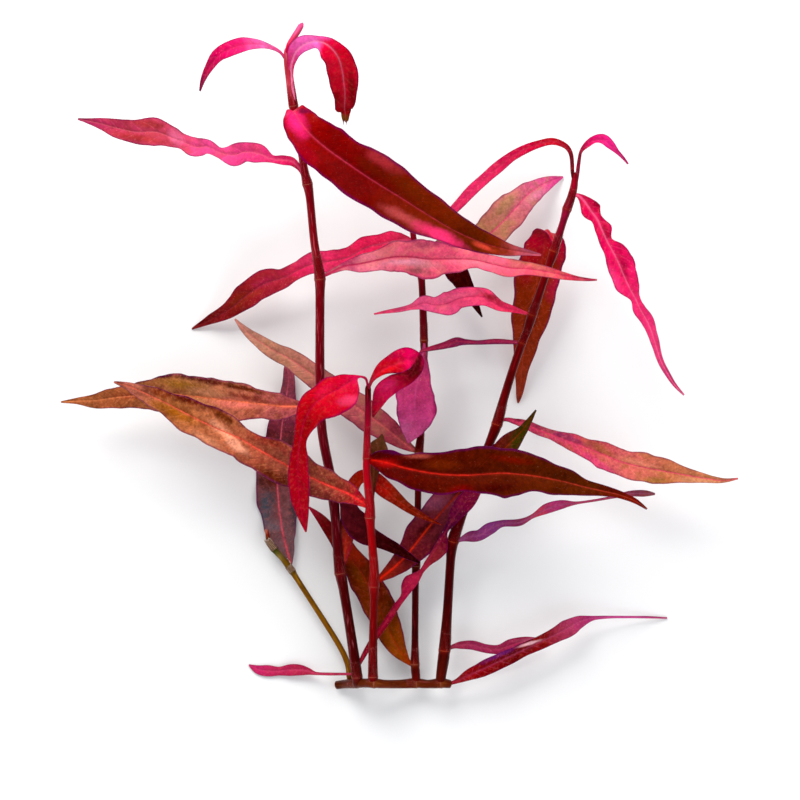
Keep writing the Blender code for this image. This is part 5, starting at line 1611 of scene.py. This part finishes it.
MIDDLE_SHOOT = Shoot(
    Stem("middle_stem", Slot.DARK_STEM, MIDDLE_FINISH, (
        (411, 222, 20.2, 2.2), (413, 234, 19.9, 2.9), (416, 252, 19.3, 3.2), (420, 270, 18.7, 4.4),
        (422, 286, 18.2, 3.5), (424, 340, 16.5, 4.1), (424, 360, 15.9, 3.6), (421, 430, 13.7, 3.7),
        (419, 452, 13, 4.5), (418.5, 472, 12.4, 3.5), (417, 548, 10, 3.6), (416, 566, 9.5, 4.4),
        (415.5, 584, 8.9, 3.5), (415, 640, 7.2, 3.6), (415, 664, 6.4, 4.6), (416, 676.5, 6, 4.4),
        (416, 683, 5.6, 4.4)),
        sheath=5.0), (
    Leaf("middle_top_leaf_left", Slot.BRIGHT_PINK, LONG_PINK, (
        (414.5, 243, 19.6, 1.3, 1.3), (407, 240, 20.3, 4, 4), (395, 241, 20.8, 10, 10),
        (380, 244, 21, 10, 10), (365, 248, 21, 11, 11), (348, 257, 20.6, 10.5, 9.5),
        (330, 261, 19.7, 11, 11), (312, 264, 18.6, 10, 11.5), (298, 270, 17.2, 8.5, 8.5),
        (283, 278, 15.4, 10.5, 10), (265, 283.5, 12.8, 13.5, 14), (246, 296, 9.6, 12.5, 12.5),
        (228, 310.5, 6, 8.5, 8), (210, 320, 2.6, 4.5, 5), (192, 329, 0.3, 0.8, 0.8)),
        fold=6.0, ruffle=0.8, waves=12.0),
    Leaf("middle_top_leaf_right", Slot.PINK, ROSE_TAN, (
        (418, 262, 19, 1.3, 1.3), (430, 250, 18.8, 4, 4), (447, 245, 18.2, 9, 10),
        (468, 243, 17.2, 13, 12), (488, 235, 15.6, 17, 15), (503, 221.5, 13.6, 20, 15.5),
        (516, 207.5, 11.2, 18, 14.5), (528, 194.5, 8.6, 12, 12.5), (540, 186, 5.8, 8, 10),
        (551, 181, 3, 5, 6), (563, 177, 0.3, 0.8, 0.8)),
        fold=6.0, ruffle=0.7),
    Leaf("middle_dark_leaf", Slot.DARK, BLACK_RED, (
        (420, 271, 18.7, 1.3, 1.3), (433, 263, 18, 4, 4), (446, 265, 17.3, 8, 8),
        (457, 273, 16.5, 11, 11), (466, 287, 15.2, 8, 8.5), (475, 304, 13.2, 4, 4),
        (482, 317, 11.8, 0.8, 0.8)),
        fold=3.0, ruffle=0.3),
    Leaf("middle_hanging_leaf", Slot.PURPLE, MAUVE, (
        (424, 342, 16.4, 1.3, 1.3), (424, 348, 18.8, 2, 2), (422, 360, 19.4, 6, 8),
        (419, 375, 19.8, 12, 15), (416, 390, 20, 17, 19), (415, 404, 19.8, 22, 19),
        (414, 417, 19.4, 20, 17), (412, 428, 18.9, 14, 13), (410, 437, 18.4, 6, 6),
        (408, 443, 18, 1.2, 1.2)),
        fold=4.0, face=(0.0, 1.0, 1.0), ruffle=0.7, waves=9.0),
    Leaf("middle_tan_leaf", Slot.TAN, TAN_WINE, (
        (419, 452, 13, 1.3, 1.3), (409, 447, 13, 4.5, 4.5), (396, 436.5, 13.1, 10, 9.5),
        (380, 424, 13.4, 14.5, 13), (362, 411, 13.9, 16, 14.5), (344, 398.5, 14.3, 15, 14),
        (325, 384.5, 14.7, 12.5, 12.5), (306, 370, 15.1, 11, 11.5), (290, 359, 15.4, 9.5, 10),
        (272, 349.5, 15.7, 8.5, 8), (256, 339, 16, 6, 6), (244, 329, 16.2, 3.5, 3.5),
        (235, 319, 16.4, 0.8, 0.8)),
        fold=6.0, ruffle=0.7),
    Leaf("middle_foot_leaf", Slot.TAN, BROWN_RED, (
        (415, 667, 6.3, 1.3, 1.3), (408, 661, 6.6, 3.5, 2.5), (399, 649, 6.9, 9.5, 8),
        (390, 632, 7.3, 13, 13), (382, 614, 7.8, 14.5, 16), (373, 596, 8.4, 15.5, 17),
        (364, 577, 8.9, 16, 15), (353, 560, 9.4, 13.5, 11.5), (341, 544, 9.9, 9.5, 10),
        (330, 530, 10.3, 6.5, 7), (319, 517, 10.6, 4, 4.5), (309, 507, 10.8, 0.8, 0.8)),
        fold=4.0, ruffle=0.5),
))

RIGHT_SHOOT = Shoot(
    Stem("right_stem", Slot.DARK_STEM, RIGHT_FINISH, (
        (575.3, 172, 32.9, 2.6), (574, 186, 32.2, 3.8), (571, 198, 31.6, 4.2), (567, 209, 31, 4.7),
        (564, 219, 30.6, 3.7), (560, 232, 29.9, 3.7), (554, 251, 29, 4.8), (548, 268, 28.2, 3.8),
        (538, 298, 26.7, 4.1), (532, 315, 25.9, 5), (527, 331, 25.1, 4.2), (522, 343, 24.5, 4.3),
        (514, 366, 23.3, 4.2), (504, 398, 21.8, 4.5), (497, 424, 20.5, 5.6), (490, 442, 19.6, 4.6),
        (480, 468, 18.3, 4.7), (463, 512, 16.1, 4.9), (453, 541, 14.7, 6), (450.5, 562, 13.7, 4.6),
        (447.5, 610, 11.3, 4.8), (444.5, 650, 9.3, 6), (441, 676.5, 8, 5.2), (441, 683, 7.5, 4.8)),
        sheath=6.0), (
    Leaf("right_top_leaf_left", Slot.BRIGHT_PINK, TOP_RED, (
        (574.5, 186, 32.4, 1.2, 1.2), (572.5, 173, 33.2, 1.9, 1.9), (572, 162, 33.6, 2, 2),
        (570.5, 153, 33.8, 2.2, 2.2), (565, 146, 33.8, 2.5, 3), (553, 141.5, 33.2, 3.5, 3.5),
        (540, 143.5, 32.3, 4, 3.5), (526, 149, 31.4, 4.5, 4.5), (511, 157, 30.3, 5, 5),
        (497, 168.5, 29.2, 5.5, 6), (484, 180, 28.3, 5, 6), (470, 193, 27.2, 5, 6),
        (457, 206, 26.3, 5, 4.5), (444, 219, 25.6, 3, 3), (435, 228, 25.2, 0.8, 0.8)),
        fold=4.0, roll=(0.0, 25.0), ruffle=0.3),
    Leaf("right_top_leaf_right", Slot.BRIGHT_PINK, TOP_PINK, (
        (576, 186, 32.4, 1.2, 1.2), (577.5, 173, 33.2, 1.9, 1.9), (579, 161, 33.8, 1.8, 1.8),
        (581, 151.5, 34.2, 1.7, 1.7), (587, 144.5, 34.4, 3.2, 3.2), (595, 140, 34.5, 4.6, 3),
        (603, 140, 34.2, 5.8, 4), (610, 145, 33.7, 4.8, 3.8), (617, 152, 33, 2.4, 2),
        (623, 158, 32.2, 1.6, 1.4), (628, 164, 31.5, 0.8, 0.8)),
        fold=4.0, roll=(0.0, 20.0), ruffle=0.3),
    Leaf("right_hanging_leaf", Slot.BRIGHT_PINK, HOT_PINK, (
        (572, 194, 31.8, 1.2, 1.2), (579, 196, 32.5, 2.5, 2.5), (585, 202, 33, 6.5, 6),
        (591, 211, 33.2, 10.5, 9.5), (597, 219, 33.2, 5.5, 6), (602, 230, 33.1, 10, 7),
        (607, 241, 32.9, 5.5, 8), (612, 250, 32.5, 12, 9), (618, 262, 31.9, 15.5, 12),
        (624, 276, 31.2, 13, 13), (629, 287, 30.6, 11, 11.5), (635, 298, 29.8, 5, 5),
        (640, 309, 29.2, 5.5, 7.5), (647, 321, 28.4, 7, 6), (652, 333, 27.4, 5, 5),
        (656, 346, 26.4, 4, 4), (660, 359, 25.4, 3, 3.5), (666, 371, 24.4, 2.5, 3),
        (674, 384, 23.2, 2, 2), (684, 395, 22, 0.8, 0.8)),
        fold=12.0, ruffle=1.0, waves=9.0),
    Leaf("right_back_leaf", Slot.RED, BACK_RED, (
        (554, 251, 29, 1.3, 1.3), (553.5, 244, 26, 1.6, 1.6), (552, 238, 23.8, 3, 3),
        (549.5, 233, 22, 8, 7), (547.5, 230.8, 20.6, 12.5, 10.5), (546, 231.2, 19.4, 15, 12.5),
        (545.3, 235, 18.4, 17.5, 15), (545, 241, 17.4, 20, 18.5), (544, 249, 16.4, 22, 21.5),
        (542, 259, 15.2, 23.5, 23), (539, 270, 14, 22, 24), (536, 286, 12.4, 22, 23),
        (533, 303, 10.8, 21, 21), (530, 320, 9.2, 18, 19), (527, 337, 7.6, 14, 15),
        (524, 353, 6, 11, 11), (522, 369, 4.5, 7, 7.5), (521, 384, 2.9, 4.5, 5.5),
        (519, 396, 1.4, 3, 3), (518, 403, 0.3, 0.8, 0.8)),
        fold=4.0, face=(0.0, -1.0, 0.5), face_until=1.5, ruffle=0.2),
    Leaf("right_upper_leaf", Slot.PINK, UPPER_PINK, (
        (532, 315, 25.9, 1.2, 1.2), (522, 312, 26, 2, 2), (511, 309, 25.8, 3.5, 4),
        (501, 306.5, 25.6, 5, 5.5), (494, 302.5, 25.4, 6.5, 6.5), (484, 297, 25.1, 9, 9),
        (472, 296.5, 24.8, 9.5, 9.5), (459, 298.5, 24.4, 10.5, 10.5), (447, 303.5, 24, 12, 11.5),
        (435, 305, 23.7, 8, 8), (424, 303, 23.4, 7.5, 7.5), (412, 307, 23, 3, 3.5),
        (398, 310, 22.6, 2.3, 2.3), (385, 312, 22.3, 1.6, 1.6), (374, 314, 22, 0.8, 0.8)),
        fold=10.0, ruffle=0.8, waves=10.0),
    Leaf("right_thin_leaf", Slot.PURPLE, THIN_RED, (
        (522, 343, 24.5, 1.2, 1.2), (510, 342, 24.6, 2, 2), (495, 341.5, 24.4, 2.5, 2.5),
        (478, 342.5, 24.1, 2, 2), (465, 342, 23.7, 2.8, 2.8), (456, 342, 23.3, 4.5, 4.5),
        (444, 345.5, 22.9, 3.3, 3.3), (431, 348.5, 22.5, 2.2, 2.2), (420, 351.5, 22.2, 0.8, 0.8)),
        fold=0.0, roll=(50.0, 50.0), ruffle=0.3),
    Leaf("right_long_leaf", Slot.PINK, LONG_TAN, (
        (497, 424, 20.5, 1.2, 1.2), (505, 419.5, 19.8, 1.8, 1.8), (515, 421.5, 19, 3, 3),
        (526, 424.5, 18.4, 4.5, 4.5), (538, 430, 18.2, 5, 5), (553, 435.5, 18.4, 5.5, 5),
        (570, 442, 19, 9, 8), (588, 448.5, 19.8, 9.5, 10.5), (603, 454.5, 20.6, 13, 14),
        (620, 461.5, 21.4, 12.5, 14), (642, 467, 22.5, 14.5, 15), (663, 471, 23.6, 13, 13),
        (685, 475, 24.8, 8, 8), (706, 478.5, 26, 4.5, 4.5), (723, 480.5, 27, 2.4, 2.4),
        (738, 478.5, 28, 0.8, 0.8)),
        fold=8.0, ruffle=0.8, waves=11.0),
    Leaf("right_wavy_leaf", Slot.PURPLE, LILAC, (
        (453.5, 543, 14.6, 1.2, 1.2), (461, 539.5, 15, 2.2, 2.2), (471, 536.5, 15.8, 5.5, 5.5),
        (480, 535, 16.2, 5.5, 5.5), (490, 528.5, 16.6, 6, 6), (502, 523.5, 17, 3.5, 3.5),
        (519, 522.5, 17.5, 3.5, 3.5), (532, 516.5, 17.9, 2, 2), (546, 509, 18.3, 5, 5),
        (561, 504.5, 18.7, 4.5, 4.5), (576, 503, 19.1, 1.4, 1.4), (594, 500.5, 19.5, 1.1, 1.1),
        (612, 497.2, 19.9, 1.3, 1.3), (629, 493.7, 20.3, 2.6, 2.6), (644, 493.3, 20.6, 3.2, 3.2),
        (655, 494, 20.8, 0.8, 0.8)),
        fold=0.0, roll=(35.0, 35.0), ruffle=0.5),
    Leaf("right_foot_leaf", Slot.PINK, FOOT_WINE, (
        (444.5, 651, 9.2, 1.2, 1.2), (453, 646.5, 9, 2.2, 2.2), (462, 645, 8.7, 4, 4),
        (473, 645, 8.4, 4.5, 5), (486, 648.5, 8, 4.5, 4.5), (499, 649, 7.6, 4.5, 5),
        (512, 644.5, 7.2, 6, 6), (526, 640.5, 6.8, 4, 4), (543, 639, 6.4, 0.8, 0.8)),
        fold=3.0, ruffle=0.4),
))

BROKEN_SHOOT = Shoot(
    Stem("broken_stem", Slot.BROWN_STEM, BROKEN_FINISH, (
        (267, 532, 5.6, 1.8), (269, 542, 5.5, 2.8), (274, 549, 5.5, 3.4), (283, 559, 5.4, 3),
        (292, 571, 5.3, 3.6), (299, 582, 5.2, 2.8), (336, 640, 4.9, 2.9), (347, 662, 4.8, 3),
        (350, 676.5, 4.6, 3.6), (351, 683, 4.9, 3.6)),
        tip=End.BROKEN, sheath=3.0, sheath_finish=SheathFinish("8a6a50", "e8d8c8", 0.6)), (
    Leaf("broken_stem_leaf", Slot.TAN, BROWN_MAUVE, (
        (290.5, 569, 5.3, 1.2, 1.2), (290.5, 565, 3, 1.6, 1.6), (289, 557, 2.5, 4.5, 5),
        (286, 546, 2.2, 12, 9), (283, 534, 1.8, 16, 13), (280, 515, 1.2, 19.5, 18),
        (278, 495, 0.6, 22, 20), (277, 470, 0.3, 21, 21), (280, 445, 0.3, 17, 19),
        (282, 425, 0.7, 13.5, 17), (285, 405, 1.5, 8.5, 12), (288, 385, 2.5, 6, 7.5),
        (288, 370, 3.3, 4.5, 5.5), (287, 356, 4.1, 0.8, 0.8)),
        fold=2.0, face=(0.0, 1.0, 1.0), ruffle=0.6),
))

ROOTSTOCK = Shoot(
    Stem("rootstock", Slot.BROWN_STEM, ROOT_FINISH, (
        (337, 685, 1.25, 4.3), (345, 684, 3.2, 4.5), (357, 683, 7.6, 5.2), (366, 683, 10.2, 4.5),
        (374, 683, 11.6, 5.2), (385, 684, 9.8, 4.4), (400, 684, 6.8, 4.5), (416, 683, 5.6, 5.2),
        (428, 684, 6.4, 4.4), (441, 683, 7.6, 5.2), (450, 684, 6.6, 4.2)),
        tip=End.CUT, sheath=2.5), (
    Leaf("rootstock_leaf", Slot.PINK, CRIMSON_TAIL, (
        (448, 684, 6.8, 1.5, 1.5), (457, 681, 8, 2.5, 2.5), (467, 676, 9, 5.5, 5),
        (477, 671.5, 9.8, 7, 7), (488, 666.5, 10.4, 8, 8), (505, 658.5, 10.8, 7.5, 8),
        (522, 650.5, 11, 7, 7), (540, 642, 10.8, 6.5, 7.5), (556, 634.5, 10, 7.5, 8),
        (568, 628, 9, 9, 9), (580, 621.5, 7.8, 6, 6.5), (593, 618, 6.6, 2.3, 2.5),
        (610, 617, 5, 1.3, 1.5), (630, 617, 3.2, 1.2, 1.2), (648, 617.2, 1.6, 1.2, 1.2),
        (667, 618, 0.3, 0.8, 0.8)),
        fold=6.0, ruffle=0.5),
))

# The rolled young leaf on top of the tall stem
BUD = Shoot(
    Stem("tall_bud", Slot.BRIGHT_PINK, BUD_FINISH, (
        (303, 22.5, 46.2, 1.6), (301.5, 25, 46, 2.9), (298, 31, 45.6, 3.1), (293.5, 38, 45.1, 3.1),
        (289.5, 44, 44.7, 2.7), (287.3, 50, 44.2, 2.2), (287.2, 57, 43.6, 1.6)),
        sheath=0.0), ())

PLANT = (ROOTSTOCK, TALL_SHOOT, BUD, FRONT_SHOOT, MIDDLE_SHOOT, RIGHT_SHOOT, BROKEN_SHOOT)


@dataclass(frozen=True)
class Lamp:
    """A soft square light that points at the middle of the plant.

    size is in metres and power in watts. shines says whether glossy surfaces mirror the light.
    """

    name: str
    place: tuple[float, float, float]
    size: float
    power: float
    colour: Colour
    shines: bool = False

    def build(self) -> None:
        """Hangs the light in its place."""
        bpy.ops.object.light_add(type="AREA", location=self.place)
        lamp = bpy.context.object
        lamp.name = self.name
        lamp.data.shape = "SQUARE"
        lamp.data.size = self.size
        lamp.data.energy = self.power
        lamp.data.color = self.colour
        lamp.visible_glossy = self.shines
        away = lamp.location.normalized()
        lamp.rotation_euler = away.to_track_quat("Z", "Y").to_euler()


@dataclass(frozen=True)
class Studio:
    """The floor, the lights and the camera that looks straight down."""

    floor_size: float = 8.0
    floor_colour: Colour = (0.86, 0.86, 0.855)
    sky: Colour = (0.93, 0.95, 1.0)
    sky_strength: float = 0.6
    floor_roughness: float = 0.9
    floor_gloss: float = 0.1
    sensor: float = 36.0
    lens: float = 200.0
    camera_place: tuple[float, float, float] = (0.0, (ORIGIN_DOWN - EYE[1]) * STEP, VIEW_HEIGHT)
    lamps: tuple[Lamp, ...] = (
        Lamp("key_light", (-0.3, 0.65, 0.6), 0.55, 8.4, (1.0, 0.98, 0.95), True),
        Lamp("fill_light", (0.6, -0.45, 0.65), 0.8, 3.2, (0.95, 0.97, 1.0)),
        Lamp("rim_light", (0.55, 0.6, 0.35), 0.35, 2.2, (1.0, 0.97, 0.96)),
    )

    def build(self) -> None:
        """Sets the scene around the plant."""
        bpy.ops.object.select_all(action="DESELECT")
        bpy.ops.mesh.primitive_plane_add(size=self.floor_size)
        floor = bpy.context.object
        floor.name = "floor"
        recipe = Recipe("floor_paper")
        recipe.feed(recipe.surface.inputs["Base Color"], self.floor_colour)
        recipe.surface.inputs["Roughness"].default_value = self.floor_roughness
        recipe.surface.inputs["Specular IOR Level"].default_value = self.floor_gloss
        floor.data.materials.append(recipe.material)
        for lamp in self.lamps:
            lamp.build()
        world = bpy.data.worlds.new("soft_sky")
        world.use_nodes = True
        sky = world.node_tree.nodes["Background"]
        sky.inputs["Color"].default_value = (*self.sky, 1.0)
        sky.inputs["Strength"].default_value = self.sky_strength
        scene = bpy.context.scene
        scene.world = world
        world.cycles_visibility.glossy = False
        scene.view_settings.view_transform = "Standard"
        bpy.ops.object.camera_add(location=self.camera_place, rotation=(0.0, 0.0, 0.0))
        camera = bpy.context.object
        camera.data.lens = self.lens
        camera.data.sensor_width = self.sensor
        scene.camera = camera


def main() -> None:
    """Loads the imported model, dresses the plant piece by piece, and sets the scene."""
    logging.basicConfig(level=logging.INFO, format="%(name)s: %(message)s")
    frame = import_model()
    LOG.info("solids: %d", len(frame["nodes"]))
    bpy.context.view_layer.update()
    for shoot in PLANT:
        shoot.build()
    Studio().build()


if __name__ == "__main__":
    main()
